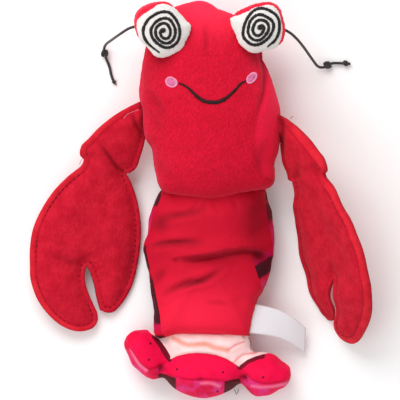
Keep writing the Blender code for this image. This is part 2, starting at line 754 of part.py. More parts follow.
def build_tail(parts):
    """Tail fan: a root under the abdomen's end, joined with a middle lobe and two side lobes."""
    finish = material("printed_tail_cloth", LOBE_MAGENTA, 0.7)
    root_top = TUCK - ABDOMEN_LENGTH + ROOT_TUCK
    root = Bag(ROOT_LENGTH, ROOT_WIDTH, ROOT_SEAM_HEIGHT, ROOT_FRONT_RISE, ROOT_BACK_DEPTH,
               ROOT_PROFILE, ROOT_CAPS)
    fan = place(root.build("tail_fan", finish, ROOT_ROW_STEPS), (0.0, root_top, 0.0))
    lobes = (
        ("middle", MIDDLE_LOBE_WIDTH, MIDDLE_LOBE_FRONT_RISE, MIDDLE_LOBE_BACK_DEPTH,
         MIDDLE_LOBE_PLACE, MIDDLE_LOBE_LIFT, MIDDLE_LOBE_SWING),
        ("left", LEFT_LOBE_WIDTH, LEFT_LOBE_FRONT_RISE, LEFT_LOBE_BACK_DEPTH,
         LEFT_LOBE_PLACE, LEFT_LOBE_LIFT, LEFT_LOBE_SWING),
        ("right", RIGHT_LOBE_WIDTH, RIGHT_LOBE_FRONT_RISE, RIGHT_LOBE_BACK_DEPTH,
         RIGHT_LOBE_PLACE, RIGHT_LOBE_LIFT, RIGHT_LOBE_SWING),
    )
    for name, width, front, back, (x, y, z), lift, swing in lobes:
        pad = Pad(oval_radii(width, LOBE_LENGTH, 2.4), front, back)
        lobe = pad.build(f"tail_lobe_{name}", finish, LOBE_STEPS, PAD_ROW_STEPS)
        turn = Matrix.Rotation(math.radians(swing), 3, "Z") @ Matrix.Rotation(math.radians(-lift), 3, "X")
        place(lobe, (x, root_top + y, z), turn.to_euler())
        press_on_floor(lobe)
        hide_tool(lobe)
        join = fan.modifiers.new(f"{name} lobe", "BOOLEAN")
        join.operation = "UNION"
        join.object = lobe
    parts["tail_fan"] = fan
    seat(fan, parts["abdomen"])


def line_widths(count, width, thin_start, thin_end):
    """Widths along a line of stitches that thins out towards its ends."""
    found = []
    for k in range(count):
        share = k / (count - 1)
        start = 1.0 if thin_start == 0 else min(1.0, 0.35 + share / thin_start)
        end = 1.0 if thin_end == 0 else min(1.0, 0.35 + (1 - share) / thin_end)
        found.append(width * start * end)
    return found


def eye_place(sign):
    """Middle of an eye pad, from the head's own size. The sign is -1 for the left one."""
    inset, drop = (LEFT_EYE_INSET, LEFT_EYE_DROP) if sign < 0 else (RIGHT_EYE_INSET, RIGHT_EYE_DROP)
    return Vector((sign * (HEAD_WIDTH / 2 - inset), HEAD_LENGTH - drop, EYE_HEIGHT))


def build_eyes(parts):
    """Two stuffed eye pads on the head's upper corners, each with a spiral sewn on it."""
    white = material("white_felt", EYE_WHITE, 0.9)
    black = material("black_thread", THREAD_BLACK, 0.6)
    eyes = (
        ("left", -1, LEFT_EYE_RADII, LEFT_SPIRAL_RADII, LEFT_SPIRAL_MIDDLE, LEFT_SPIRAL_START),
        ("right", 1, RIGHT_EYE_RADII, RIGHT_SPIRAL_RADII, RIGHT_SPIRAL_MIDDLE, RIGHT_SPIRAL_START),
    )
    lean = math.radians(EYE_LEAN) * math.sqrt(0.5)
    for side, sign, radii, spiral, middle, start in eyes:
        swell = Vector((sign, 1.0)).normalized() * EYE_SWELL
        pad = Pad(radii, EYE_FRONT_RISE, EYE_BACK_DEPTH, EYE_CROWN, swell)
        eye = pad.build(f"eye_{side}", white, EYE_STEPS, PAD_ROW_STEPS)
        place(eye, eye_place(sign), Euler((lean, -sign * lean, 0.0)))
        seat(eye, parts["head"])
        parts[f"eye_{side}"] = eye
        route = spiral_route(spiral, middle, math.radians(start), sign)
        widths = line_widths(len(route), SPIRAL_LINE, 0.06, 0.0)
        line = ribbon(f"eye_spiral_{side}", route, widths, pad.height, black)
        parts[f"eye_spiral_{side}"] = place(line, (0, 0, 0), parent=eye)


def build_face(parts, head):
    """Mouth line and cheeks on the head's front."""
    black = bpy.data.materials["black_thread"]
    pink = material("pink_thread", CHEEK_PINK, 0.6)
    mouth_middle = Vector((MOUTH_SIDE_SHIFT, -MOUTH_DROP_FROM_TOP))
    route = [p + mouth_middle for p in curve_through(MOUTH_POINTS, 2.2)]
    widths = line_widths(len(route), MOUTH_LINE, 0.35, 0.35)
    smile = ribbon("smile", route, widths, head.front, black)
    parts["smile"] = place(smile, (0, 0, 0), parent=parts["head"])
    for side, sign, slant, drop in (("left", -1, -24.0, 0.6), ("right", 1, 24.0, 2.6)):
        x = MOUTH_SIDE_SHIFT + sign * CHEEK_SPACING / 2
        y = drop - MOUTH_DROP_FROM_TOP
        height = head.front(x, y)
        slope_x = (head.front(x + 0.5, y) - head.front(x - 0.5, y))
        slope_y = (head.front(x, y + 0.5) - head.front(x, y - 0.5))
        normal = Vector((-slope_x, -slope_y, 1.0)).normalized()
        turn = normal.to_track_quat("Z", "Y").to_matrix() @ Matrix.Rotation(math.radians(slant), 3, "Z")
        disc = Pad(oval_radii(CHEEK_LENGTH, CHEEK_WIDTH, 2.0), THREAD_RISE, 0.01)
        cheek = disc.build(f"cheek_{side}", pink, CHEEK_STEPS, 3)
        lift = normal * (CLEARANCE + 0.12)
        place(cheek, Vector((x, y, height)) + lift, turn.to_euler(), parts["head"])
        parts[f"cheek_{side}"] = cheek


def build_arms(parts):
    felt = material("red_felt", FELT_RED, 0.95)
    left_wrist = (-HEAD_WIDTH / 2 - LEFT_WRIST_REACH, HEAD_LENGTH - LEFT_WRIST_DROP)
    right_wrist = (HEAD_WIDTH / 2 + RIGHT_WRIST_REACH, HEAD_LENGTH - RIGHT_WRIST_DROP)
    left = Arm(-1, left_wrist, LEFT_ARM_SWING, LEFT_ARM_ROLL, LEFT_ARM_HEIGHTS)
    right = Arm(1, right_wrist, RIGHT_ARM_SWING, RIGHT_ARM_ROLL, RIGHT_ARM_HEIGHTS)
    parts["claw_left"] = build_claw("claw_left", left, felt)
    parts["claw_right"] = build_claw("claw_right", right, felt)
    seat(parts["claw_left"], parts["head"])
    seat(parts["claw_right"], parts["head"])


def build_antennae(parts):
    """A cord from each eye pad's seam, with its knots."""
    black = bpy.data.materials["black_thread"]
    middles = {sign: Vector((*eye_place(sign).xy, 0.0)) for sign in (-1, 1)}
    left = [middles[-1] + Vector(p) for p in LEFT_CORD_ROUTE]
    right = [middles[1] + Vector(p) for p in RIGHT_CORD_ROUTE]
    parts["antenna_left"] = build_cord("antenna_left", left, black)
    parts["antenna_right"] = build_cord("antenna_right", right, black)
    knots = (
        ("antenna_left_knot", left, LEFT_KNOT_STEPS, KNOT_DIAMETER, KNOT_LENGTH),
        ("antenna_right_knot", right, RIGHT_KNOT_STEPS, KNOT_DIAMETER, KNOT_LENGTH),
        ("antenna_right_end_knot", right, RIGHT_END_KNOT_STEPS, END_KNOT_DIAMETER, END_KNOT_LENGTH),
    )
    for name, route, at, diameter, length in knots:
        parts[name] = build_knot(name, route, at, diameter, length, black)


def move_to_origin(parts):
    """Hangs everything on one empty, with the middle of the toy's underside at the origin."""
    bpy.context.view_layer.update()
    depsgraph = bpy.context.evaluated_depsgraph_get()
    shapes = [item.evaluated_get(depsgraph) for name, item in parts.items() if not name.startswith("antenna")]
    spots = [shape.matrix_world @ v.co for shape in shapes for v in shape.data.vertices]
    low = Vector([min(p[axis] for p in spots) for axis in range(3)])
    high = Vector([max(p[axis] for p in spots) for axis in range(3)])
    toy = bpy.data.objects.new("shrimp_toy", None)
    bpy.context.scene.collection.objects.link(toy)
    toy.location = (-(low.x + high.x) / 2, -(low.y + high.y) / 2, -low.z)
    for item in bpy.context.scene.collection.objects:
        if item.parent is None and item is not toy:
            item.parent = toy


def main():
    clear_scene()
    parts = {}
    head, abdomen = build_body(parts)
    build_tail(parts)
    build_eyes(parts)
    build_face(parts, head)
    build_arms(parts)
    woven = material("woven_white", LABEL_WHITE, 0.6)
    share = LABEL_DOWN_SHARE
    seam_x = abdomen.middle(share) + abdomen.half_width(share)
    root = Vector((seam_x, TUCK - share * ABDOMEN_LENGTH, ABDOMEN_SEAM_HEIGHT))
    parts["label"] = build_label(root, woven)
    seat(parts["label"], parts["abdomen"])
    build_antennae(parts)
    move_to_origin(parts)


main()
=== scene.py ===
# %% [markdown]
# # A stuffed shrimp toy, step by step
# The toy is a soft bag with a plush head, a smooth belly, a printed tail, two felt claws and two
# stuffed eyes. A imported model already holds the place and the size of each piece. This lesson loads it
# and dresses it: each step takes one plain solid, or makes a finer form in its place, and gives it cloth.
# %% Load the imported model
import math

import bmesh
import bpy
import numpy as np
from mathutils import Matrix, Vector, geometry, noise
from mathutils.bvhtree import BVHTree


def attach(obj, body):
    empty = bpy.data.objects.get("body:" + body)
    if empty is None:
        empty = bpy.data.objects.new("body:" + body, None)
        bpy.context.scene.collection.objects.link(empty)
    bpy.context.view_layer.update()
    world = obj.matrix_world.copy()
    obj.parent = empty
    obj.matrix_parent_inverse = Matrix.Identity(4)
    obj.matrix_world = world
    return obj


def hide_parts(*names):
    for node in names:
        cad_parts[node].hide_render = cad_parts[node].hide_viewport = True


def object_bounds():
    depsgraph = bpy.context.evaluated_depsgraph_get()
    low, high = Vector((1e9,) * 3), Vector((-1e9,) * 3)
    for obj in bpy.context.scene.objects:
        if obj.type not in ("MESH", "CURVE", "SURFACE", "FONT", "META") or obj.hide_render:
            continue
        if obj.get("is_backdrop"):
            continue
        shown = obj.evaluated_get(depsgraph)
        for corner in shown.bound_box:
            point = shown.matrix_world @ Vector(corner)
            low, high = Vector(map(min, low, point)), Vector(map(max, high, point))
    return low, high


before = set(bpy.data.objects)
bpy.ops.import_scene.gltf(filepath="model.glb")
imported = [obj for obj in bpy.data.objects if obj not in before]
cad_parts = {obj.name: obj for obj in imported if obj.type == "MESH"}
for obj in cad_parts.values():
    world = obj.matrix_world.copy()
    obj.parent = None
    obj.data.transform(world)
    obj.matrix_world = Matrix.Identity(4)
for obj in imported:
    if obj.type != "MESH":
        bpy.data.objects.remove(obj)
cad_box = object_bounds()
print("nodes:", ", ".join(sorted(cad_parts)))


def declare(piece, node_name=None):
    """Puts a piece on the root body and hides the plain solid that it replaces."""
    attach(piece, "root")
    if node_name:
        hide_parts(node_name)



# %% [markdown]
# ## Sizes, and places in the photograph
# The toy lies on its back and is seen from straight above, so a place in the picture is a place on the
# floor. One pixel of the photograph is half a millimetre on the toy. Writing places as pixels keeps the
# numbers close to what the eye sees. The scene itself is in metres, so every size in millimetres is
# multiplied once, where a mesh is made.
# %% From a pixel to a place
MM = 0.001
PIXEL = 0.5
PICTURE_LEFT = -100.76
PICTURE_TOP = 99.55
TOY_SHIFT = Vector((-1.262, -0.204, 0.0))
LENS = 600.0
SENSOR = 36.0
VIEW_SPAN = 200.0
VIEW_HEIGHT = 16.0
VIEW_DISTANCE = VIEW_SPAN * LENS / SENSOR


def at(px, py, z=0.0):
    """The place, in millimetres, of a pixel of the photograph."""
    return Vector((PICTURE_LEFT + px * PIXEL, PICTURE_TOP - py * PIXEL, z))


def seen(px, py, z):
    """The place at a height that the camera sees at a pixel. Higher things look further from the middle."""
    middle = at(200, 200)
    return middle + (at(px, py) - middle) * (1 - (z - VIEW_HEIGHT) / VIEW_DISTANCE) + Vector((0, 0, z))


print("middle of the picture:", tuple(round(c, 1) for c in at(200, 200)))

# %% [markdown]
# ## The camera
# A product photographer stands far back with a long lens, so that near and far parts of a small thing
# keep their true proportions. The camera looks straight down, with the head at the top.
# %% Camera
camera_data = bpy.data.cameras.new("camera")
camera_data.lens = LENS
camera_data.sensor_width = SENSOR
camera_data.clip_end = 20.0
camera = bpy.data.objects.new("camera", camera_data)
camera.location = at(200, 200, VIEW_HEIGHT + VIEW_DISTANCE) * MM
bpy.context.scene.collection.objects.link(camera)
bpy.context.scene.camera = camera
print(f"camera {VIEW_DISTANCE * MM:.2f} m above the toy")

# %% [markdown]
# ## Curves through a few points
# Cords, seams and stitches all follow smooth lines. A Catmull-Rom curve passes through every point that
# it is given, so a few measured places are enough for a smooth line. The same formula gives a smooth
# value between the rows of a table.
# %% Smooth lines
def hermite(a, b, slope_a, slope_b, t):
    square, cube = t * t, t * t * t
    start = 2 * cube - 3 * square + 1
    return start * a + (1 - start) * b + (cube - 2 * square + t) * slope_a + (cube - square) * slope_b


def smooth_line(points, step, closed=False):
    """Points about one step apart on a smooth curve through the given ones."""
    ends = [Vector(p) for p in points]
    if closed:
        ends = [ends[-1]] + ends + [ends[0], ends[1]]
    else:
        ends = [2 * ends[0] - ends[1]] + ends + [2 * ends[-1] - ends[-2]]
    found = []
    for k in range(1, len(ends) - 2):
        before, start, stop, after = ends[k - 1:k + 3]
        count = max(1, round((stop - start).length / step))
        for j in range(count):
            found.append(hermite(start, stop, (stop - before) / 2, (after - start) / 2, j / count))
    if not closed:
        found.append(ends[-2])
    return found


def even_line(points, step):
    """The same line again, with its points evenly spaced."""
    gaps = [(b - a).length for a, b in zip(points, points[1:])]
    total = sum(gaps)
    count = max(2, round(total / step))
    found, index, passed = [], 0, 0.0
    for k in range(count + 1):
        target = total * k / count
        while index < len(gaps) - 1 and passed + gaps[index] < target:
            passed += gaps[index]
            index += 1
        share = min((target - passed) / max(gaps[index], 1e-9), 1.0)
        found.append(points[index].lerp(points[index + 1], share))
    return found


def line_length(points):
    return sum((b - a).length for a, b in zip(points, points[1:]))


bend = smooth_line([(0, 0, 0), (10, 0, 0), (10, 10, 0)], 1.0)
print(f"a smooth bend through three corners 10 mm apart is {line_length(bend):.1f} mm long")

# %% [markdown]
# ## Making meshes and tubes
# Every finished piece sits at the origin with its place in its mesh. A tube is a ring of points carried
# along a line. The frame is turned as little as possible from ring to ring, so the tube doesn't twist.
# Its UV map runs round the tube and along it in millimetres, which a cord's weave needs.
# %% Mesh helpers
def new_piece(name, points, faces, finish=None):
    """One object from points in millimetres."""
    mesh = bpy.data.meshes.new(name)
    mesh.from_pydata([tuple(c * MM for c in p) for p in points], [], faces)
    mesh.validate()
    mesh.shade_smooth()
    if finish:
        mesh.materials.append(finish)
    piece = bpy.data.objects.new(name, mesh)
    bpy.context.scene.collection.objects.link(piece)
    return piece


def tube(name, line, radii, finish, sides):
    """A closed tube along a line. Its radius is one number, or one for each point."""
    if not hasattr(radii, "__len__"):
        radii = [radii] * len(line)
    heading = (line[1] - line[0]).normalized()
    side = heading.orthogonal().normalized()
    points, rows = [], []
    last = len(line) - 1
    passed = 0.0
    for k, spot in enumerate(line):
        turned = (line[min(k + 1, last)] - line[max(k - 1, 0)]).normalized()
        side = (side - turned * side.dot(turned)).normalized()
        up = turned.cross(side)
        passed += (spot - line[k - 1]).length if k else 0.0
        rows.append(passed)
        for j in range(sides):
            turn = 2 * math.pi * j / sides
            points.append(spot + (side * math.cos(turn) + up * math.sin(turn)) * radii[k])
    faces, corners = [], []
    for row in range(last):
        for j in range(sides):
            nxt = (j + 1) % sides
            base = row * sides
            faces.append((base + j, base + nxt, base + sides + nxt, base + sides + j))
            corners += [(j / sides, rows[row]), ((j + 1) / sides, rows[row]),
                        ((j + 1) / sides, rows[row + 1]), (j / sides, rows[row + 1])]
    faces += [tuple(reversed(range(sides))), tuple(last * sides + j for j in range(sides))]
    corners += [(0.0, 0.0)] * sides + [(0.0, rows[last])] * sides
    piece = new_piece(name, points, faces, finish)
    layer = piece.data.uv_layers.new(name="along")
    for loop, corner in zip(layer.data, corners):
        loop.uv = corner
    return piece


# %% [markdown]
# ## Shader building
# A material is a small network of nodes. The helper below adds a node and sets its inputs by name, so
# that each material reads as a short list. Colours are given as seen on the screen and turned into the
# linear light values that a shader works in.
# %% Node helpers
def linear(colour):
    return tuple(c / 12.92 if c <= 0.04045 else ((c + 0.055) / 1.055) ** 2.4 for c in colour)


def rgb(red, green, blue):
    """A colour from its screen values, 0 to 255."""
    return (*linear((red / 255, green / 255, blue / 255)), 1.0)


def node(tree, kind, settings=None, **inputs):
    """Adds a node. Inputs are values, or the sockets of other nodes; a_b stands for the name A B."""
    made = tree.nodes.new(kind)
    for key, value in (settings or {}).items():
        setattr(made, key, value)
    for key, value in inputs.items():
        wanted = key.replace("_", " ").lower()
        slot = int(key[1:]) if key[0] == "i" and key[1:].isdigit() else None
        if slot is None:
            socket = next(s for s in made.inputs if s.name.lower() == wanted and s.enabled)
        else:
            socket = made.inputs[slot]
        if isinstance(value, bpy.types.NodeSocket):
            tree.links.new(value, socket)
        else:
            socket.default_value = value
    return made


def maths(tree, operation, a, b=0.0):
    return node(tree, "ShaderNodeMath", {"operation": operation}, i0=a, i1=b).outputs[0]


def blend_colour(tree, share, a, b):
    """Mixes two colours. Sockets 6 and 7 are the colour pair of the Mix node."""
    mix = node(tree, "ShaderNodeMix", {"data_type": "RGBA"}, i0=share)
    for index, value in ((6, a), (7, b)):
        if isinstance(value, bpy.types.NodeSocket):
            tree.links.new(value, mix.inputs[index])
        else:
            mix.inputs[index].default_value = value
    return mix.outputs[2]


def edge_mask(tree, field, middle, soft):
    """1 where a field is above a value and 0 below it, with a soft step."""
    return node(tree, "ShaderNodeMapRange", {"interpolation_type": "SMOOTHSTEP"}, Value=field,
                From_Min=middle - soft, From_Max=middle + soft).outputs[0]


def field(tree, name):
    """A value that is stored on the points of a mesh."""
    return node(tree, "ShaderNodeAttribute", {"attribute_name": name}).outputs["Fac"]


def with_painted_shade(tree, colour, painted_dark):
    """The colour of cloth with painted shade: darker where the mesh records painted shade, deep in folds."""
    return blend_colour(tree, field(tree, "painted_shade"), colour, painted_dark)


def painted_light(tree, colour, light):
    """The colour of cloth with painted light: lighter where the mesh records painted light."""
    return blend_colour(tree, field(tree, "painted_light"), colour, light)


def new_material(name, roughness, sheen=0.0, sheen_roughness=0.5, sheen_tint=(1, 1, 1, 1), specular=0.5):
    made = bpy.data.materials.new(name)
    made.use_nodes = True
    shader = made.node_tree.nodes["Principled BSDF"]
    shader.inputs["Roughness"].default_value = roughness
    shader.inputs["Sheen Weight"].default_value = sheen
    shader.inputs["Sheen Roughness"].default_value = sheen_roughness
    shader.inputs["Sheen Tint"].default_value = sheen_tint
    shader.inputs["Specular IOR Level"].default_value = specular
    return made, made.node_tree, shader


def new_group(name, inputs, outputs):
    """An empty shader group. Inputs are (name, kind, value) and outputs are (name, kind)."""
    group = bpy.data.node_groups.new(name, "ShaderNodeTree")
    for label, kind, value in inputs:
        socket = group.interface.new_socket(label, in_out="INPUT", socket_type=f"NodeSocket{kind}")
        if value is not None:
            socket.default_value = value
    for label, kind in outputs:
        group.interface.new_socket(label, in_out="OUTPUT", socket_type=f"NodeSocket{kind}")
    return group, group.nodes.new("NodeGroupInput"), group.nodes.new("NodeGroupOutput")


def place_group(tree, group, **inputs):
    return node(tree, "ShaderNodeGroup", {"node_tree": group}, **inputs)


print(f"a middle grey on the screen, 128 of 255, is {rgb(128, 128, 128)[0]:.3f} as light")

# %% [markdown]
# ## The nap of cloth
# Short pile, felt and smooth cloth differ in the size and the direction of their fibres, but all three
# break the light in the same way: many small bumps, and slow patches where the fibres lean another way.
# One group makes both. Its Fibre Scale sets the bumps, Patch Scale the slow patches, and Stretch draws
# the fibres out to one side. It puts out a height for a Bump node and a value for the colour.
# %% Nap group
nap_group, nap_in, nap_out = new_group(
    "cloth_nap",
    [("Fibre Scale", "Float", 1500.0), ("Patch Scale", "Float", 90.0), ("Stretch", "Vector", (1.0, 1.0, 1.0)),
     ("Detail", "Float", 4.0)],
    [("Height", "Float"), ("Patches", "Float"), ("Fibres", "Float")],
)
spots = node(nap_group, "ShaderNodeTexCoord").outputs["Object"]
drawn = node(nap_group, "ShaderNodeVectorMath", {"operation": "MULTIPLY"}, i0=spots, i1=nap_in.outputs["Stretch"])
fibres = node(nap_group, "ShaderNodeTexNoise", Vector=drawn.outputs[0], Scale=nap_in.outputs["Fibre Scale"],
              Detail=nap_in.outputs["Detail"], Roughness=0.65, Distortion=0.4)
cells = node(nap_group, "ShaderNodeTexVoronoi", Vector=drawn.outputs[0], Scale=nap_in.outputs["Fibre Scale"])
patches = node(nap_group, "ShaderNodeTexNoise", Vector=spots, Scale=nap_in.outputs["Patch Scale"], Detail=3.0,
               Roughness=0.55)
height = maths(nap_group, "ADD", maths(nap_group, "MULTIPLY", fibres.outputs[0], 0.7),
               maths(nap_group, "MULTIPLY", cells.outputs["Distance"], 0.5))
nap_group.links.new(height, nap_out.inputs["Height"])
nap_group.links.new(patches.outputs[0], nap_out.inputs["Patches"])
nap_group.links.new(fibres.outputs[0], nap_out.inputs["Fibres"])
print("group made:", nap_group.name)


def dress(tree, shader, colour, height, distance):
    """Gives a shader its colour and its bump. The bump's distance is in millimetres."""
    tree.links.new(colour, shader.inputs["Base Color"])
    raised = node(tree, "ShaderNodeBump", Height=height, Distance=distance * MM, Strength=1.0)
    tree.links.new(raised.outputs[0], shader.inputs["Normal"])


# %% [markdown]
# ## Threads and cords
# Embroidery thread is a smooth twisted yarn that shines along its length, while the waxed cord of the
# antennae is braided from thicker strands. The cord's material follows its UV map: slanted waves round
# the tube stand for the strands.
# %% Thread and cord materials
def thread_material(name, colour, light, roughness=0.5, sheen=0.06, specular=0.3):
    """Spun thread, with small changes of colour along it."""
    made, tree, shader = new_material(name, roughness, sheen=sheen, sheen_roughness=0.35, specular=specular)
    nap = place_group(tree, nap_group, Fibre_Scale=2600.0, Patch_Scale=500.0)
    dress(tree, shader, blend_colour(tree, nap.outputs["Patches"], colour, light), nap.outputs["Height"], 0.05)
    return made


def cord_material(name, colour, light, strands, pitch):
    """A braided cord. The pitch is the length, in millimetres, that a strand takes for one turn."""
    made, tree, shader = new_material(name, 0.5, sheen=0.2, sheen_roughness=0.4)
    place = node(tree, "ShaderNodeUVMap", {"uv_map": "along"}).outputs[0]
    parts = node(tree, "ShaderNodeSeparateXYZ", Vector=place)
    waves = []
    for side in (1.0, -1.0):
        turn = maths(tree, "ADD", maths(tree, "MULTIPLY", parts.outputs[0], strands * 2 * math.pi),
                     maths(tree, "MULTIPLY", parts.outputs[1], side * strands * 2 * math.pi / pitch))
        waves.append(maths(tree, "SINE", turn))
    weave = maths(tree, "MAXIMUM", waves[0], waves[1])
    shade = edge_mask(tree, weave, 0.1, 1.0)
    dress(tree, shader, blend_colour(tree, shade, colour, light), shade, 0.14)
    return made


black_thread = thread_material("black_satin_thread", rgb(14, 10, 12), rgb(40, 33, 35))
brown_thread = thread_material("dark_brown_thread", rgb(26, 6, 9), rgb(56, 16, 20))
pink_thread = thread_material("pink_satin_thread", rgb(238, 128, 180), rgb(255, 184, 216), sheen=0.2)
black_cord = cord_material("braided_black_cord", rgb(12, 10, 11), rgb(46, 42, 42), 3.0, 2.6)
print("materials:", ", ".join(made.name for made in (black_thread, brown_thread, pink_thread, black_cord)))

# %% [markdown]
# ## The antennae
# Each antenna is a limp waxed cord that is caught in the seam of an eye. It droops over the side of the
# pad, comes down to the floor and lies there. The left one ends frayed below its knot. The right one has
# a knot where it turns and a small one near its end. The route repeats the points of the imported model,
# measured from the middle of the eye.
# %% Routes of the cords
LEFT_EYE_MIDDLE = Vector((-17.8, 84.2, 0.0)) + TOY_SHIFT
RIGHT_EYE_MIDDLE = Vector((29.5, 84.8, 0.0)) + TOY_SHIFT
LEFT_CORD_ROUTE = (
    (-13.1, 2.1, 31.2), (-17.0, 1.0, 30.6), (-21.0, -1.4, 27.4), (-24.2, -3.4, 21.5), (-26.8, -5.0, 14.0),
    (-28.8, -6.4, 7.4), (-29.8, -8.3, 2.9), (-29.6, -10.8, 2.25), (-28.9, -13.2, 1.9), (-27.9, -15.6, 1.2),
    (-27.0, -18.2, 0.85), (-26.4, -21.2, 0.75), (-25.6, -23.6, 0.75), (-24.5, -26.0, 0.75),
)
RIGHT_CORD_ROUTE = (
    (12.3, 0.1, 31.6), (16.1, -2.0, 30.4), (19.5, -5.0, 26.8), (22.5, -8.4, 20.8), (25.3, -12.0, 13.8),
    (27.9, -15.4, 7.4), (30.1, -17.9, 3.6), (32.7, -18.5, 2.5), (35.0, -17.3, 2.2), (37.4, -16.4, 1.9),
    (39.7, -16.3, 1.6), (41.9, -16.4, 1.7), (44.1, -16.4, 1.75), (46.5, -16.7, 1.6),
)
CORD_DIAMETER = 1.4


def antenna(name, route, eye_middle):
    line = even_line(smooth_line([Vector(p) + eye_middle for p in route], 0.5), 0.45)
    piece = tube(name, line, CORD_DIAMETER / 2, black_cord, 14)
    print(f"{name}: {line_length(line):.1f} mm long")
    return piece, line


left_antenna, left_line = antenna("antenna_left_cord", LEFT_CORD_ROUTE, LEFT_EYE_MIDDLE)
right_antenna, right_line = antenna("antenna_right_cord", RIGHT_CORD_ROUTE, RIGHT_EYE_MIDDLE)


# %% [markdown]
# ## Knots
# An overhand knot is one loop of the cord pulled tight round itself. A trefoil curve has the same way
# over and under, so a short tube along a small trefoil, with the cord through its middle, looks like the
# real knot from every side.
# %% Overhand knots
KNOT_POINTS = 72
STRAND_RADIUS = 0.24


def overhand_knot(name, route, eye_middle, index, size, strand):
    """A trefoil of the cord at one point of its route. Size is the knot's outer radius, in millimetres."""
    middle = Vector(route[index]) + eye_middle
    heading = Vector(route[index + 1]) - Vector(route[index - 1])
    turn = heading.to_track_quat("Z", "Y").to_matrix()
    ring = size - strand
    line = []
    for k in range(KNOT_POINTS + 1):
        t = 2 * math.pi * k / KNOT_POINTS
        flat = Vector(((math.sin(t) + 2 * math.sin(2 * t)) / 3, (math.cos(t) - 2 * math.cos(2 * t)) / 3,
                       -math.sin(3 * t) * 0.75))
        line.append(middle + turn @ (flat * ring))
    return tube(name, line, strand, black_cord, 10)


left_knot = overhand_knot("antenna_left_overhand", LEFT_CORD_ROUTE, LEFT_EYE_MIDDLE, 7, 2.1, 0.72)
right_knot = overhand_knot("antenna_right_overhand", RIGHT_CORD_ROUTE, RIGHT_EYE_MIDDLE, 8, 2.2, 0.74)
end_knot = overhand_knot("antenna_end_overhand", RIGHT_CORD_ROUTE, RIGHT_EYE_MIDDLE, 12, 1.6, 0.6)


def frayed_end(line, tips):
    """The thin strands of a cut cord, each from the cord's end to a tip."""
    strands = []
    for k, (px, py, z) in enumerate(tips):
        route = [line[-3], line[-1], line[-1].lerp(at(px, py, z), 0.5) + Vector((0, 0, 0.15)), at(px, py, z)]
        strands.append(tube(f"antenna_left_strand_{k + 1}", smooth_line(route, 0.25), STRAND_RADIUS, black_cord,
                            6))
    return strands


left_strands = frayed_end(left_line, ((111.5, 81.6, 0.8), (115.7, 79.8, 0.9), (116.4, 84.4, 0.7)))
print("three knots made, and", len(left_strands), "strands at the frayed end")

# %% [markdown]
# ## Declaring the cords
# Each cord is put on the root body. The knots and the frayed strands go with it, and each piece stands for
# the plain solid of the imported model, which is hidden.
for piece, line, node_name, knots, strands, far_end in (
    (left_antenna, left_line, "antenna_left", [(left_knot, "antenna_left_knot")], left_strands, "bare"),
    (right_antenna, right_line, "antenna_right",
     [(right_knot, "antenna_right_knot"), (end_knot, "antenna_right_end_knot")], [], "knot"),
):
    declare(piece, node_name)
    for knot, knot_node in knots:
        declare(knot, knot_node)
    for strand in strands:
        declare(strand)
print("two cords declared")

# %% [markdown]
# ## Measuring and moving the points of a mesh
# Folds, seams and prints are all placed by their distance from a line or an outline in the picture. With
# numpy one call measures every point of a mesh at once. A distance that is stored on the mesh as an
# attribute lets the shader draw a crisp edge later, because it blends evenly between the points.
# %% Fields over a mesh
LINE_STEP = 0.8


def spots_of(piece):
    flat = np.empty(len(piece.data.vertices) * 3)
    piece.data.vertices.foreach_get("co", flat)
    return flat.reshape(-1, 3) / MM


def normals_of(piece):
    flat = np.empty(len(piece.data.vertices) * 3)
    piece.data.vertices.foreach_get("normal", flat)
    return flat.reshape(-1, 3)


def move_spots(piece, spots):
    piece.data.vertices.foreach_set("co", (spots * MM).ravel())
    piece.data.update()


def store(piece, name, values):
    layer = piece.data.attributes.new(name, "FLOAT", "POINT")
    layer.data.foreach_set("value", np.asarray(values, dtype=np.float32))


def to_line(spots, line):
    """Distance in XY to a line, share of the way along it, and +1 where a spot is on its left."""
    flat = spots[:, :2]
    best, share, side = np.full(len(flat), 1e9), np.zeros(len(flat)), np.zeros(len(flat))
    for k in range(len(line) - 1):
        start, along = np.array(line[k][:2]), np.array(line[k + 1][:2]) - np.array(line[k][:2])
        part = np.clip((flat - start) @ along / max(along @ along, 1e-9), 0.0, 1.0)
        gap = np.linalg.norm(flat - start - part[:, None] * along, axis=1)
        turn = along[0] * (flat[:, 1] - start[1]) - along[1] * (flat[:, 0] - start[0])
        nearer = gap < best
        best = np.where(nearer, gap, best)
        share = np.where(nearer, (k + part) / (len(line) - 1), share)
        side = np.where(nearer, np.sign(turn), side)
    return best, share, side


def outline_depth(spots, corners):
    """Distance in XY to an outline, positive inside it."""
    loop = list(corners) + [corners[0]]
    gap, _, _ = to_line(spots, loop)
    x, y = spots[:, 0], spots[:, 1]
    hit = np.zeros(len(spots), dtype=bool)
    for a, b in zip(loop, loop[1:]):
        crosses = (a[1] > y) != (b[1] > y)
        with np.errstate(divide="ignore", invalid="ignore"):
            left = x < a[0] + (y - a[1]) / (b[1] - a[1]) * (b[0] - a[0])
        hit ^= crosses & left
    return np.where(hit, gap, -gap)


def picture_line(*pixels):
    """A smooth line in millimetres through pixels of the photograph."""
    return smooth_line([at(*p) for p in pixels], LINE_STEP)


# %% [markdown]
# ## Making a stuffed form
# A stuffed piece starts as a copy of its plain solid. The copy's loose triangles are merged, a voxel
# remesh gives it an even net of small faces, and a few rounds of smoothing take the facets away. Then a
# cloth simulation pushes it out with pressure, with the gravity off, by no more than a cap. On a toy this
# small the pressure moves the cloth very little, as the printed numbers show. The stuffed look comes
# mainly from the smoothing, and from the outline and the folds that are drawn on afterwards.
# %% Soft forms
REMOVED_GAP = 1e-6
SMOOTH_PULL = 0.6
SMOOTH_PUSH_BACK = -0.62
PRESSURE = 4.0
SIMULATED_FRAMES = 20
FLOOR_GAP = 0.15
FLOOR_SOFTNESS = 1.2


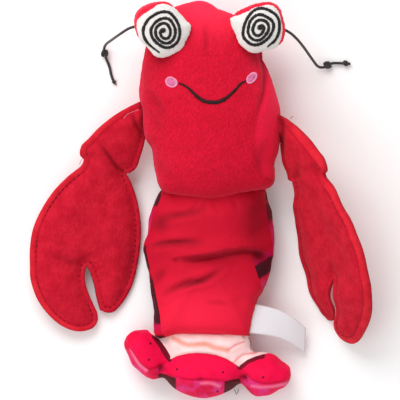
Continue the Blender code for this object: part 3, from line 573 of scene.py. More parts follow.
def merged_copy(source, name):
    shape = bmesh.new()
    shape.from_mesh(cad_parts[source].data)
    bmesh.ops.remove_doubles(shape, verts=shape.verts, dist=REMOVED_GAP)
    mesh = bpy.data.meshes.new(name)
    shape.to_mesh(mesh)
    shape.free()
    piece = bpy.data.objects.new(name, mesh)
    bpy.context.scene.collection.objects.link(piece)
    return piece


def bake(piece):
    """Makes what the modifiers show the piece's own mesh."""
    ready = piece.evaluated_get(bpy.context.evaluated_depsgraph_get())
    mesh = bpy.data.meshes.new_from_object(ready)
    piece.modifiers.clear()
    piece.data = mesh
    mesh.shade_smooth()


def even_net(piece, voxel):
    net = piece.modifiers.new("even net", "REMESH")
    net.mode = "VOXEL"
    net.voxel_size = voxel * MM
    bake(piece)


def finer(piece):
    net = piece.modifiers.new("finer", "SUBSURF")
    net.levels = net.render_levels = 1
    bake(piece)


def edges_of(piece):
    flat = np.empty(len(piece.data.edges) * 2, dtype=np.int64)
    piece.data.edges.foreach_get("vertices", flat)
    return flat.reshape(-1, 2)


def relax(piece, rounds, keep_size=True):
    """Smooths a mesh. Every second round pushes back, so that the form doesn't shrink."""
    edges, spots = edges_of(piece), spots_of(piece)
    count = np.bincount(edges.ravel(), minlength=len(spots))[:, None]
    for k in range(rounds * 2 if keep_size else rounds):
        total = np.zeros_like(spots)
        np.add.at(total, edges[:, 0], spots[edges[:, 1]])
        np.add.at(total, edges[:, 1], spots[edges[:, 0]])
        pull = SMOOTH_PULL if k % 2 == 0 or not keep_size else SMOOTH_PUSH_BACK
        spots = spots + pull * (total / count - spots)
    move_spots(piece, spots)


def stuff(piece, cap):
    """Lets pressure push the cloth out, by no more than a cap."""
    start = spots_of(piece)
    cloth = piece.modifiers.new("stuffing", "CLOTH")
    cloth.settings.use_pressure = True
    cloth.settings.uniform_pressure_force = PRESSURE
    cloth.settings.effector_weights.gravity = 0.0
    scene = bpy.context.scene
    for number in range(1, SIMULATED_FRAMES + 1):
        scene.frame_set(number)
    ready = piece.evaluated_get(bpy.context.evaluated_depsgraph_get())
    flat = np.empty(len(start) * 3)
    ready.data.vertices.foreach_get("co", flat)
    moved = flat.reshape(-1, 3) / MM - start
    piece.modifiers.clear()
    scene.frame_set(1)
    far = np.linalg.norm(moved, axis=1, keepdims=True)
    moved *= np.minimum(1.0, cap / np.maximum(far, 1e-9))
    move_spots(piece, start + moved)
    moved = np.minimum(far, cap)
    print(f"{piece.name}: pressure moved half of the points less than {np.median(moved):.3f} mm, "
          f"and none more than {moved.max():.3f} mm")


def grow(piece, amount):
    move_spots(piece, spots_of(piece) + normals_of(piece) * amount)


def on_floor(piece):
    """Flattens a piece softly where it rests."""
    spots = spots_of(piece)
    above = FLOOR_GAP + FLOOR_SOFTNESS
    low = spots[:, 2] < above
    spots[low, 2] = FLOOR_GAP + FLOOR_SOFTNESS * np.exp((spots[low, 2] - above) / FLOOR_SOFTNESS)
    move_spots(piece, spots)


def stuffed_form(source, name, voxel, rounds, growth, cap, settle, keep_size=True):
    """The whole way from a plain solid to a smooth bag, in the order that the text above gives."""
    piece = merged_copy(source, name)
    even_net(piece, voxel)
    relax(piece, rounds, keep_size)
    grow(piece, growth)
    stuff(piece, cap)
    relax(piece, settle)
    finer(piece)
    return piece


# %% [markdown]
# ## Folds, dimples and seams
# A crease pulls the cloth in along a line and lets it bulge a little beside it. A fold is lopsided: cloth
# hangs over the line from one side. Both fade out at their ends, and both only touch the side that looks
# up, since they are placed from above. Both also record painted shade, which darkens the cloth's colour
# where it is pulled in. Slow noise keeps a large surface from looking machined.
# %% Sculpting by lines
def facing_up(piece, least=0.0):
    return np.clip((normals_of(piece)[:, 2] - least) * 4.0, 0.0, 1.0)


def push(piece, amount):
    move_spots(piece, spots_of(piece) + normals_of(piece) * np.asarray(amount)[:, None])


def painted_shade(piece, amount):
    """Adds painted shade to the mesh's record of how deep in a fold each point lies. The cloth's colour is
    darkened there.
    """
    layer = piece.data.attributes.get("painted_shade") or piece.data.attributes.new("painted_shade", "FLOAT", "POINT")
    values = np.zeros(len(layer.data), dtype=np.float32)
    layer.data.foreach_get("value", values)
    layer.data.foreach_set("value", np.clip(values + amount, 0.0, 1.0).astype(np.float32))


def nudged(flat, rows):
    """Moves places sideways near some pixels. Rows are (pixel, shift right and down, reach), in pixels."""
    moved = np.array(flat, dtype=float)
    for px, py, right, down, reach in rows:
        gap = np.linalg.norm(flat - np.array(at(px, py)[:2]), axis=-1, keepdims=True)
        moved += np.array((right, -down)) * PIXEL * np.exp(-(gap / (reach * PIXEL)) ** 2)
    return moved


def nudge(piece, rows):
    spots = spots_of(piece)
    spots[:, :2] = nudged(spots[:, :2], rows)
    move_spots(piece, spots)


def paint_light(piece, patches):
    """Records painted light, where the cloth's colour is made lighter. Patches are (pixel, half width, half
    height, strength).
    """
    spots = spots_of(piece)
    total = np.zeros(len(spots))
    for px, py, wide, tall, strength in patches:
        away = (spots[:, :2] - np.array(at(px, py)[:2])) / (np.array((wide, tall)) * PIXEL)
        total += strength * np.exp(-np.sum(away ** 2, axis=1))
    store(piece, "painted_light", np.clip(total, 0.0, 1.0))


def along_line(spots, line, fade):
    """Distance to a line, its side, and a weight that fades out at the line's ends."""
    gap, share, left = to_line(spots, line)
    return gap, left, np.sin(np.pi * np.clip(share, 0.03, 0.97)) ** fade


def crease(piece, line, depth, reach, lip=0.35, fade=0.6, painted_dark=0.5):
    """Pulls the surface in along a line, with a low swelling on both sides, and paints shade along the line."""
    gap, _, ends = along_line(spots_of(piece), line, fade)
    ends = ends * facing_up(piece)
    shape = -np.exp(-(gap / reach) ** 2) + lip * np.exp(-((gap / reach - 2.0) / 0.9) ** 2)
    painted_shade(piece, painted_dark * ends * np.exp(-(gap / reach) ** 2))
    push(piece, depth * shape * ends)


def creases(piece, rows):
    """Rows are (depth, reach, fade, darkness of the painted shade, pixels of the photograph)."""
    for depth, reach, fade, painted_dark, pixels in rows:
        crease(piece, picture_line(*pixels), depth, reach, fade=fade, painted_dark=painted_dark)


def fold(piece, line, rise, reach, fade, painted_dark):
    """Lifts the cloth on the left of a line, pulls it in under the lip, and paints shade under the lip."""
    spots = spots_of(piece)
    gap, left, ends = along_line(spots, line, fade)
    signed = gap * left / reach
    ends = ends * facing_up(piece)
    lift = np.exp(-((signed - 0.7) / 0.75) ** 2) - 0.85 * np.exp(-((signed + 0.5) / 0.6) ** 2)
    amount = rise * lift * ends
    painted_shade(piece, painted_dark * ends * np.exp(-((signed + 0.75) / 0.75) ** 2))
    move_spots(piece, spots + np.column_stack([amount * 0, -0.45 * np.maximum(amount, 0.0), amount]))


def dimples(piece, rows):
    """Each dimple pushes the cloth in and paints shade there. Rows are (pixel, depth, reach, darkness of the
    painted shade).
    """
    for px, py, depth, reach, painted_dark in rows:
        spot = np.array(at(px, py)[:2])
        near = np.exp(-(np.linalg.norm(spots_of(piece)[:, :2] - spot, axis=1) / reach) ** 2) * facing_up(piece)
        painted_shade(piece, painted_dark * near)
        push(piece, -depth * near)


def uneven(piece, amount, size, seed=0.0):
    """Slow noise along the normals, in millimetres."""
    spots = spots_of(piece)
    push(piece, [noise.noise(Vector(p) / size + Vector((seed, 0, 0))) * amount for p in spots])


def lift_along(piece, pixels, rise, reach, least=0.0):
    """Raises the cloth along a line, or lowers it where the rise is negative."""
    gap = to_line(spots_of(piece), picture_line(*pixels))[0]
    spots = spots_of(piece)
    spots[:, 2] += rise * np.exp(-(gap / reach) ** 2) * facing_up(piece, least)
    move_spots(piece, spots)


def seam_at_height(piece, height, depth, reach):
    """The side seam of a bag, where its front and back panels meet."""
    gap = (spots_of(piece)[:, 2] - height) / reach
    shape = -np.exp(-gap ** 2) + 0.3 * np.exp(-((np.abs(gap) - 2.0) / 0.9) ** 2)
    push(piece, depth * shape * (1 - np.abs(normals_of(piece)[:, 2])))


def fit_outline(piece, middle, corners, sectors=96):
    """Moves points sideways, away from a middle or towards it, to give the outline that is seen from above."""
    centre = np.array(middle[:2])
    border = np.array([tuple(p[:2]) for p in smooth_line(corners, 0.5, closed=True)]) - centre
    flat = spots_of(piece)[:, :2] - centre
    turn = np.arctan2(flat[:, 1], flat[:, 0])
    sector = ((turn + math.pi) / (2 * math.pi) * sectors).astype(int) % sectors
    now = np.zeros(sectors)
    np.maximum.at(now, sector, np.hypot(flat[:, 0], flat[:, 1]))
    turns = (np.arange(sectors) + 0.5) / sectors * 2 * math.pi - math.pi
    wanted = np.interp(turns, np.arctan2(border[:, 1], border[:, 0]), np.hypot(border[:, 0], border[:, 1]),
                       period=2 * math.pi)
    ratio = np.interp(turn, turns, wanted / now, period=2 * math.pi)
    spots = spots_of(piece)
    spots[:, :2] = centre + flat * ratio[:, None]
    move_spots(piece, spots)


def sew_to(piece, neighbour, reach, sink=0.3):
    """Draws the edge of a piece against its neighbour, as the seam between them does."""
    mesh = neighbour.data
    tree = BVHTree.FromPolygons([v.co for v in mesh.vertices], [p.vertices for p in mesh.polygons])
    spots = spots_of(piece)
    for k, spot in enumerate(spots):
        hit, normal, _, gap = tree.find_nearest(Vector(spot) * MM, reach * MM)
        if hit:
            weight = 1 - gap / (reach * MM)
            weight = weight * weight * (3 - 2 * weight)
            target = (hit - normal * sink * MM) / MM
            spots[k] = np.array(Vector(spot).lerp(target, weight))
    move_spots(piece, spots)


# %% [markdown]
# ## The head
# The head and the chest are one bag of red short-pile plush. Its nap hides small detail but shows slow
# folds: a light crease down the forehead, a side seam on the right with a panel beyond it that is
# brighter, partly by painted light, and soft pulls at the lower left where the arm is sewn in. Painted
# shade darkens the folds and the plush under the eyes, and painted light brightens the forehead. The seam
# between front and back runs round the side at the height that the imported model gives it.
# %% Head form
HEAD_SEAM = 20.0
HEAD_OUTLINE = [
    (199, 1.2), (206, 2), (211, 4), (216, 7), (227, 11.7), (240, 17), (254, 31), (262.5, 50), (265, 62),
    (271, 78), (276, 92), (280, 112), (280.5, 135), (278.5, 156), (275.5, 167), (276, 178), (272, 186),
    (262, 189.5), (245, 193.5), (230, 197.5), (214, 200), (200, 199.5), (189, 198), (175, 195), (162, 190.5),
    (156, 179), (152.5, 163), (151.5, 149), (146, 139), (143.6, 128), (143, 112), (139.4, 100), (138.4, 91),
    (140, 78), (144.5, 50), (152, 28), (163, 12), (178, 4.8), (188, 2.2),
]
CHEST_EDGE = ((158, 186), (175, 195), (189, 198), (200, 199.5), (214, 200), (230, 198), (245, 193), (270, 187))
head = stuffed_form("head", "plush_head", 2.2, 5, -0.9, 2.2, 3)
fit_outline(head, at(208, 104), [at(*p) for p in HEAD_OUTLINE])
lift_along(head, CHEST_EDGE, 2.6, 6.0, 0.15)
seam_at_height(head, HEAD_SEAM, 0.9, 0.9)
creases(head, (
    (0.6, 1.2, 0.6, 0.3, ((206, 24), (206.5, 40), (206, 58))),
    (1.1, 1.3, 0.6, 0.5, ((262, 52), (264, 64), (265, 76), (264, 90), (261, 102), (257, 116))),
    (0.9, 2.6, 0.6, 0.4, ((146, 90), (156, 103), (167, 120))),
    (0.7, 2.2, 0.6, 0.3, ((148, 112), (156, 122), (163, 134))),
    (0.7, 2.4, 0.6, 0.3, ((268, 138), (261, 156), (262, 176))),
    (0.5, 2.4, 0.6, 0.25, ((157, 160), (166, 174), (180, 184))),
))
# Dimples with painted shade: under the two eyes, and a faint one that darkens the left side of the face.
dimples(head, (
    (160, 60, 0.8, 5.0, 0.35), (148, 78, 0.3, 7.0, 0.22), (258, 55, 0.8, 5.0, 0.45),
))
uneven(head, 0.5, 13.0, 3.0)
uneven(head, 0.2, 5.0, 8.0)
# Painted light: the forehead, which faces the key light, and a little of the right side are made lighter.
paint_light(head, ((212, 8, 60, 26, 1.0), (262, 60, 12, 40, 0.1)))
on_floor(head)
print("head:", len(head.data.polygons), "faces")

# %% [markdown]
# ## Plush
# Short pile is matt from the front and bright at a grazing angle, because the tips of the fibres catch
# the light. The sheen of the shader does that, with a pink tint. Patches where the pile leans another way
# are darker or lighter, and a bump of many small tufts gives the grain. Painted light makes the forehead
# lighter, the panel beyond the right seam is lighter, partly by painted light, and painted shade darkens
# the folds and the plush under the eyes.
# %% Plush material
plush, tree, shader = new_material("red_short_pile_plush", 0.85, sheen=0.6, sheen_roughness=0.45,
                                   sheen_tint=rgb(255, 90, 120), specular=0.14)
nap = place_group(tree, nap_group, Fibre_Scale=1300.0, Patch_Scale=150.0, Stretch=(1.0, 0.5, 1.0))
patchy = edge_mask(tree, nap.outputs["Patches"], 0.5, 0.3)
base = blend_colour(tree, patchy, rgb(205, 8, 42), rgb(218, 14, 52))
tufts = edge_mask(tree, nap.outputs["Fibres"], 0.48, 0.22)
base = blend_colour(tree, tufts, rgb(176, 2, 32), base)
# Painted light, where the mesh records it.
base = painted_light(tree, base, rgb(252, 42, 74))
# The panel beyond the right seam is lighter: partly a separate panel of the plush, and partly painted light on
# that side.
sides = blend_colour(tree, 0.6, base, rgb(246, 26, 66))
base = blend_colour(tree, edge_mask(tree, field(tree, "side_panel"), 0.6, 1.4), base, sides)
# Painted shade in the folds and under the eyes.
base = with_painted_shade(tree, base, rgb(120, 0, 22))
dress(tree, shader, base, nap.outputs["Height"], 0.4)
SIDE_PANEL = ((262, 52), (264, 64), (265, 76), (264, 90), (261, 102), (257, 116), (254, 134), (255, 154),
              (262, 176), (296, 184), (300, 50))
store(head, "side_panel", outline_depth(spots_of(head), [at(*p) for p in SIDE_PANEL]))
head.data.materials.append(plush)
declare(head, "head")
print(plush.name, "has", len(tree.nodes), "nodes")

# %% [markdown]
# ## The belly
# The lower bag has a smooth red front. One large fold hangs over its middle, from the picture's centre to
# the right edge, and smaller ones run across it. The printed back wraps round the sides, where it shows as
# a thin strip of dark and pink bands. The form is made as the head's is. Three thin creases with painted
# shade run close beside the larger ones, where the cloth is sharpest. Painted shade also darkens the folds
# and the upper right of the belly, and painted light brightens its lower part.
# %% Belly form
BELLY_SEAM = 13.5
BELLY_OUTLINE = [
    (214, 186), (240, 185), (262, 186), (268, 195), (269.5, 202), (273, 212), (274.7, 229), (275, 245),
    (273.8, 258), (270.6, 271), (266.3, 284), (262.5, 292.5), (258.5, 298), (257, 305), (253, 320),
    (249.5, 333), (247, 336), (235, 335.5), (225, 335), (195, 334), (173, 335), (166, 337.5), (158, 338.5),
    (154.5, 334), (153, 321), (151.7, 304.6), (150, 283), (147.2, 266.7), (142.6, 249.4), (147, 234),
    (148.8, 216), (154, 202), (158, 193.5), (163, 187), (188, 185),
]
belly = stuffed_form("abdomen", "belly", 1.7, 3, -0.5, 1.4, 2)
fit_outline(belly, at(209, 262), [at(*p) for p in BELLY_OUTLINE])
lift_along(belly, CHEST_EDGE, -2.4, 5.0)
sew_to(belly, head, 4.0)
seam_at_height(belly, BELLY_SEAM, 0.7, 0.8)
fold(belly, picture_line((178, 258), (194, 256), (205, 254.8), (216, 252.6), (227, 250.4), (238, 248.8),
                         (248, 248.3), (257, 250.4), (267, 255)), 2.6, 2.3, fade=0.45, painted_dark=0.62)
creases(belly, (
    (0.2, 0.8, 0.5, 0.4, ((192, 256), (205, 253.4), (216, 251.2), (227, 249), (238, 247.6), (247, 247.4))),
    (1.0, 1.7, 0.6, 0.5, ((160, 219), (175, 216), (190, 213.5), (204, 210))),
    (1.1, 1.7, 0.6, 0.55, ((148, 248), (160, 244.5), (182, 243), (203, 243))),
    (0.2, 0.7, 0.5, 0.4, ((152, 245), (164, 242.2), (182, 240.8), (196, 240.6))),
    (0.2, 0.8, 0.5, 0.4, ((183, 288.5), (194, 284), (206, 281.5))),
    (1.3, 1.6, 0.6, 0.65, ((163, 295), (178, 287), (189, 283), (205, 279.5), (216, 273), (222, 268))),
    (0.7, 1.8, 0.6, 0.45, ((154, 284), (158, 277), (166, 270))),
    (0.4, 1.3, 0.6, 0.2, ((206, 303), (216, 303.5), (229, 305))),
    (0.4, 1.2, 0.6, 0.15, ((232, 198), (236, 206), (238, 212))),
    (0.3, 0.9, 0.6, 0.14, ((197, 200), (195, 206), (190, 212))),
    (0.2, 0.8, 0.6, 0.1, ((204, 201), (204.5, 206), (202, 211))),
    (0.3, 0.9, 0.6, 0.14, ((213, 200), (214, 206), (219, 213))),
))
# Dimples with painted shade; the wide one at the upper right darkens the side that faces away from the light.
dimples(belly, (
    (160, 224, 0.8, 4.0, 0.6), (258, 210, 0.6, 9.0, 0.6), (256, 234, 0.2, 8.0, 0.4), (259, 256, 0.6, 3.4, 0.8),
))
uneven(belly, 0.35, 9.0, 1.0)
# Painted light: the lower belly is made lighter.
paint_light(belly, ((200, 316, 60, 32, 0.85),))
on_floor(belly)

# %% [markdown]
# ## Where the print begins
# The front panel's outline is a short list of places in the picture. Every point of the mesh stores its
# distance from that outline, positive on the red side. Points under the side seam belong to the back.
# %% Panel field
FRONT_PANEL = [
    (162, 178), (266, 178), (265.5, 198), (266.5, 212), (269, 223), (271.5, 234), (272, 245), (270, 250),
    (262, 254.5), (253, 258), (254.5, 265.5), (258, 276.5), (261, 284), (262, 294), (258.5, 304), (254, 322),
    (252, 345), (166.5, 345), (166, 338), (161.3, 332), (160, 315.5), (156.8, 299.2), (153.5, 283),
    (149.5, 266.7), (146, 249.4), (148.6, 236), (151.5, 220), (157.5, 206), (161, 197),
]
spots = spots_of(belly)
panel = outline_depth(spots, [at(*p) for p in FRONT_PANEL])
panel = np.minimum(panel, (spots[:, 2] - BELLY_SEAM + 3.0) * 1.4)
store(belly, "panel", panel)
print("belly:", len(belly.data.polygons), "faces,", round(100 * float(np.mean(panel > 0))), "% in front")

# %% [markdown]
# ## Smooth cloth and its print
# The front is a thin jersey with a fine, nearly even nap. The back's print is a row of bands across the
# body: dark brown, red, pink and magenta. A colour ramp along the toy's length gives them, and a little
# noise makes their edges run as dye does. The stored distance chooses between front and back.
# %% Belly material
BAND_WANDER = 2.0


def print_bands(tree, stops, slant=0.0, middle=0.0):
    """Bands across the toy. Stops are (pixel from the top, colour). They slant about a middle X in mm."""
    place = node(tree, "ShaderNodeTexCoord").outputs["Object"]
    noise_value = node(tree, "ShaderNodeTexNoise", Vector=place, Scale=260.0, Detail=2.0).outputs[0]
    parts = node(tree, "ShaderNodeSeparateXYZ", Vector=place).outputs
    tilt = maths(tree, "MULTIPLY", maths(tree, "SUBTRACT", parts[0], middle * MM), slant)
    along = maths(tree, "SUBTRACT", parts[1], tilt)
    top, bottom = stops[0][0], stops[-1][0]
    shift = maths(tree, "MULTIPLY", maths(tree, "SUBTRACT", noise_value, 0.5), BAND_WANDER * MM)
    share = node(tree, "ShaderNodeMapRange", Value=maths(tree, "ADD", along, shift),
                 From_Min=at(0, top).y * MM, From_Max=at(0, bottom).y * MM).outputs[0]
    ramp = node(tree, "ShaderNodeValToRGB", Fac=share)
    marks = ramp.color_ramp.elements
    while len(marks) < len(stops):
        marks.new(0.5)
    for mark, (row, colour) in zip(marks, stops):
        mark.position = (row - top) / (bottom - top)
        mark.color = colour
    return ramp.outputs[0]


BAND_DARK = rgb(58, 12, 22)
BAND_RED = rgb(200, 6, 44)
BAND_PINK = rgb(206, 48, 108)
BAND_MAGENTA = rgb(190, 0, 72)
belly_cloth, tree, shader = new_material("red_jersey_with_print", 0.74, sheen=0.2, sheen_roughness=0.45,
                                         sheen_tint=rgb(255, 90, 120), specular=0.16)
nap = place_group(tree, nap_group, Fibre_Scale=2200.0, Patch_Scale=90.0, Stretch=(1.0, 0.6, 1.0))
patchy = edge_mask(tree, nap.outputs["Patches"], 0.5, 0.3)
front = blend_colour(tree, patchy, rgb(196, 3, 40), rgb(209, 7, 46))
front = blend_colour(tree, edge_mask(tree, nap.outputs["Fibres"], 0.5, 0.3), rgb(186, 2, 36), front)
# Painted light on the lower belly.
front = painted_light(tree, front, rgb(250, 30, 66))
right_bands = print_bands(tree, [
    (186, BAND_RED), (193, BAND_DARK), (200, BAND_DARK), (202, BAND_RED), (206, BAND_DARK),
    (222, BAND_DARK), (226, BAND_MAGENTA), (236, BAND_PINK), (252, BAND_MAGENTA), (259, BAND_MAGENTA),
    (261, BAND_DARK), (275, BAND_DARK), (277, BAND_RED), (284, BAND_PINK), (290, BAND_RED),
    (322, BAND_RED), (326, BAND_MAGENTA), (333, BAND_DARK), (340, BAND_DARK)],
    slant=0.55, middle=at(264, 0).x)
left_bands = print_bands(tree, [
    (186, BAND_RED), (192, BAND_DARK), (205, BAND_DARK), (208, BAND_RED), (214, BAND_MAGENTA),
    (226, BAND_PINK), (236, BAND_MAGENTA), (243, BAND_RED), (247, BAND_DARK), (268, BAND_DARK),
    (272, BAND_RED), (280, BAND_DARK), (322, BAND_DARK), (325, BAND_MAGENTA), (334, BAND_RED),
    (336, BAND_DARK), (340, BAND_DARK)])
across = node(tree, "ShaderNodeSeparateXYZ", Vector=node(tree, "ShaderNodeTexCoord").outputs["Object"]).outputs[0]
bands = blend_colour(tree, edge_mask(tree, across, at(209, 0).x * MM, 0.001), left_bands, right_bands)
mask = edge_mask(tree, field(tree, "panel"), 0.0, 0.12)
# Painted shade in the folds, over the front and the print alike.
cloth = with_painted_shade(tree, blend_colour(tree, mask, bands, front), rgb(112, 0, 20))
dress(tree, shader, cloth, nap.outputs["Height"], 0.16)
belly.data.materials.append(belly_cloth)
declare(belly, "abdomen")
print(belly_cloth.name, "has", len(tree.nodes), "nodes")

# %% [markdown]
# ## The tail
# The tail is one stuffed fan: a pale root, a wide middle lobe and two side lobes that curl up towards the
# viewer. Thread pinches it between the lobes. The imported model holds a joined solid, whose sharp inner
# corners the remesh and the smoothing turn into the soft valleys of a stuffed form.
# %% Tail form
LEFT_SEAM = [(125, 338), (128, 346.5), (132, 351), (136, 357), (140.5, 363.5), (147, 368.7), (154, 368.5),
             (161, 366)]
MIDDLE_SEAM = [(161.6, 370.5), (169.6, 374.8), (180.4, 378.6), (193.7, 380.4), (207, 379.6), (218, 380.8),
               (225, 381.2), (234, 379.2), (243.3, 377.9)]
RIGHT_SEAM = [(247.3, 375.5), (251.3, 380), (260.7, 383.3), (271.4, 383.3), (280.8, 382), (287.5, 381.2),
              (291, 378.6)]
MIDDLE_TOP = [(161.6, 366.5), (169.6, 359.8), (177.7, 355.8), (188.4, 353.4), (196.4, 352.7), (207, 353.4),
              (216.5, 355), (226, 358.5), (234, 363.2), (240.6, 368), (246, 374.6)]
tail = stuffed_form("tail_fan", "printed_tail", 1.3, 9, 0.35, 1.2, 2, keep_size=False)
nudge(tail, ((123, 360, 5, -2, 12), (134, 374, 4, -3, 10), (146, 380, 3, 0, 8), (140, 327, 0, 2.5, 9),
             (284, 360, -2, 3, 8), (278, 392, 0, -3, 7), (256, 394, 0, 2, 7), (204, 396, 0, 2, 14)))
sew_to(tail, belly, 3.5)
# The seams and the pinches between the lobes are pulled in, with painted shade in them.
for seam in (LEFT_SEAM, MIDDLE_SEAM, RIGHT_SEAM):
    crease(tail, picture_line(*seam), 0.5, 0.6, lip=0.5, fade=0.2, painted_dark=0.25)
crease(tail, picture_line(*MIDDLE_TOP), 0.45, 0.6, fade=0.3, painted_dark=0.4)
dimples(tail, (
    (162, 368, 1.6, 2.0, 0.7), (244, 378, 1.6, 2.0, 0.7), (201, 379, 0.6, 1.6, 0.35),
))
creases(tail, (
    (0.7, 1.3, 0.6, 0.0, ((174, 339), (188, 345), (200, 346), (212, 346), (228, 350))),
    (0.4, 0.8, 0.6, 0.0, ((228, 350), (236, 345), (245, 342))),
    (0.4, 0.8, 0.6, 0.0, ((234, 362), (243, 355), (256, 353))),
))
uneven(tail, 0.3, 7.0, 5.0)
on_floor(tail)

# %% [markdown]
# ## The tail's print
# The print is made of simple shapes: the magenta front of each lobe, a dark band at the inner edge of the
# side lobes, small dots, and the darker printed back beyond the lobes' seams. Each shape is an outline or
# a line in the picture, and the mesh stores its distance from it.
# %% Tail fields
LEFT_FRONT = [(118, 338), (122, 329), (132, 326), (144, 327), (151.5, 334), (159, 339), (165.6, 347.8),
              (170.5, 356), (170, 362), (165, 372), (140, 380), (118, 360)]
MIDDLE_FRONT = MIDDLE_TOP + [(250, 390), (204, 402), (155, 390)]
RIGHT_FRONT = [(239.3, 365.8), (247.3, 359.8), (255.4, 356.5), (262.7, 354.5), (275, 352), (292, 364),
               (300, 380), (290, 400), (238, 400), (240, 380)]
BACK = [(90, 330), (124.6, 331), (124.8, 338)] + LEFT_SEAM[1:] + MIDDLE_SEAM + [(245.5, 375)] + RIGHT_SEAM + [
    (320, 378), (320, 420), (90, 420)]
DARK_BANDS = [[(154, 336.5), (157.5, 340.7), (163, 349), (169.5, 360)],
              [(240, 367), (249, 360.5), (262.7, 356)]]
LEFT_BACK_BAND = [(158, 373), (165.6, 374), (176, 378), (176, 390), (168, 387), (158, 382)]
RIGHT_BACK_BAND = [(224.6, 381), (238, 378), (241, 381), (240, 388), (234, 392), (228, 396), (224, 398)]
DOTS = [(150.5, 343.5), (149, 359.5), (177, 369), (223, 372), (263, 377), (217.5, 391.5)]
spots = spots_of(tail)
upper = normals_of(tail)[:, 2]


def inside_any(shapes):
    return np.max([outline_depth(spots, [at(*p) for p in shape]) for shape in shapes], axis=0)


def near_any(lines):
    return np.min([to_line(spots, picture_line(*line))[0] for line in lines], axis=0)


back = np.maximum(inside_any([BACK]), (-0.15 - upper) * 6.0)
dots = [np.linalg.norm(spots[:, :2] - np.array(at(*p)[:2]), axis=1) for p in DOTS]
store(tail, "lobes", inside_any([LEFT_FRONT, MIDDLE_FRONT, RIGHT_FRONT]))
store(tail, "back", back)
store(tail, "front_band", near_any(DARK_BANDS))
store(tail, "back_band", inside_any([LEFT_BACK_BAND, RIGHT_BACK_BAND]))
store(tail, "dots", np.where(upper > 0, np.min(dots, axis=0), 9.0))
# Lines of the root's creases, for painted shade.
store(tail, "crease", near_any([((173, 338), (188, 345), (203, 344), (216, 348), (228, 350))]))
store(tail, "thin_crease", near_any([((228, 350), (236, 345), (245, 341.5)),
                                     ((234, 362), (243, 355), (256, 353))]))
# Lines for a painted highlight just beyond the lobes' seams.
store(tail, "shine", near_any([((131, 349), (133.5, 354.5), (139, 363.5), (146, 370)),
                               ((252, 386), (262, 387), (275, 386), (287, 383)),
                               ((201, 383), (211, 383), (219, 386))]))
print("tail:", len(tail.data.polygons), "faces")

# %% [markdown]
# ## Printed tail cloth
# The real cloth is printed before it is cut, so the print ends exactly at the seams. Here each stored
# distance becomes a mask with a crisp edge, and the masks are laid over one another from the palest colour
# to the dots. Two of the masks are not print: painted shade along the root's creases, and a painted
# highlight just beyond the lobes' seams. A little noise is added to some distances, so that the edges run
# as dye does.
# %% Tail material
tail_cloth, tree, shader = new_material("printed_tail_jersey", 0.7, sheen=0.03, sheen_roughness=0.4,
                                        sheen_tint=rgb(255, 120, 160), specular=0.14)
nap = place_group(tree, nap_group, Fibre_Scale=2200.0, Patch_Scale=200.0)
patchy = edge_mask(tree, nap.outputs["Patches"], 0.5, 0.2)
shaky = maths(tree, "MULTIPLY", maths(tree, "SUBTRACT", nap.outputs["Patches"], 0.5), 1.2)
pale = blend_colour(tree, patchy, rgb(252, 208, 208), rgb(255, 224, 221))
# Painted shade: an orange-tinted darker colour along the root's creases.
folded = edge_mask(tree, maths(tree, "ADD", field(tree, "crease"), shaky), 1.2, 1.2)
pale = blend_colour(tree, folded, rgb(238, 160, 142), pale)
pale = blend_colour(tree, edge_mask(tree, field(tree, "thin_crease"), 0.4, 0.4), rgb(242, 146, 152), pale)
magenta = blend_colour(tree, patchy, rgb(230, 0, 62), rgb(242, 0, 72))
dark_front = edge_mask(tree, maths(tree, "ADD", field(tree, "front_band"), shaky), 1.2, 0.2)
magenta = blend_colour(tree, dark_front, rgb(112, 6, 34), magenta)
front = blend_colour(tree, edge_mask(tree, field(tree, "lobes"), 0.0, 0.12), pale, magenta)
behind = blend_colour(tree, patchy, rgb(216, 8, 60), rgb(240, 22, 88))
purple = edge_mask(tree, node(tree, "ShaderNodeTexNoise", Scale=150.0, Detail=2.0,
                              Vector=node(tree, "ShaderNodeTexCoord").outputs["Object"]).outputs[0], 0.56, 0.1)
behind = blend_colour(tree, purple, behind, rgb(228, 48, 124))
# Painted highlight: a pale pink line just beyond the lobes' seams.
shine = edge_mask(tree, maths(tree, "ADD", field(tree, "shine"), shaky), 0.7, 0.8)
behind = blend_colour(tree, shine, rgb(250, 112, 152), behind)
dark_back = edge_mask(tree, maths(tree, "ADD", field(tree, "back_band"), shaky), 0.0, 0.3)
behind = blend_colour(tree, dark_back, behind, rgb(84, 22, 26))
cloth = blend_colour(tree, edge_mask(tree, field(tree, "back"), 0.0, 0.12), front, behind)
# Painted shade in the folds, seams and pinches.
cloth = with_painted_shade(tree, cloth, rgb(120, 0, 30))
dotted = edge_mask(tree, field(tree, "dots"), 0.58, 0.2)
dress(tree, shader, blend_colour(tree, dotted, rgb(70, 2, 26), cloth), nap.outputs["Height"], 0.15)
tail.data.materials.append(tail_cloth)
declare(tail, "tail_fan")
print(tail_cloth.name, "has", len(tree.nodes), "nodes")

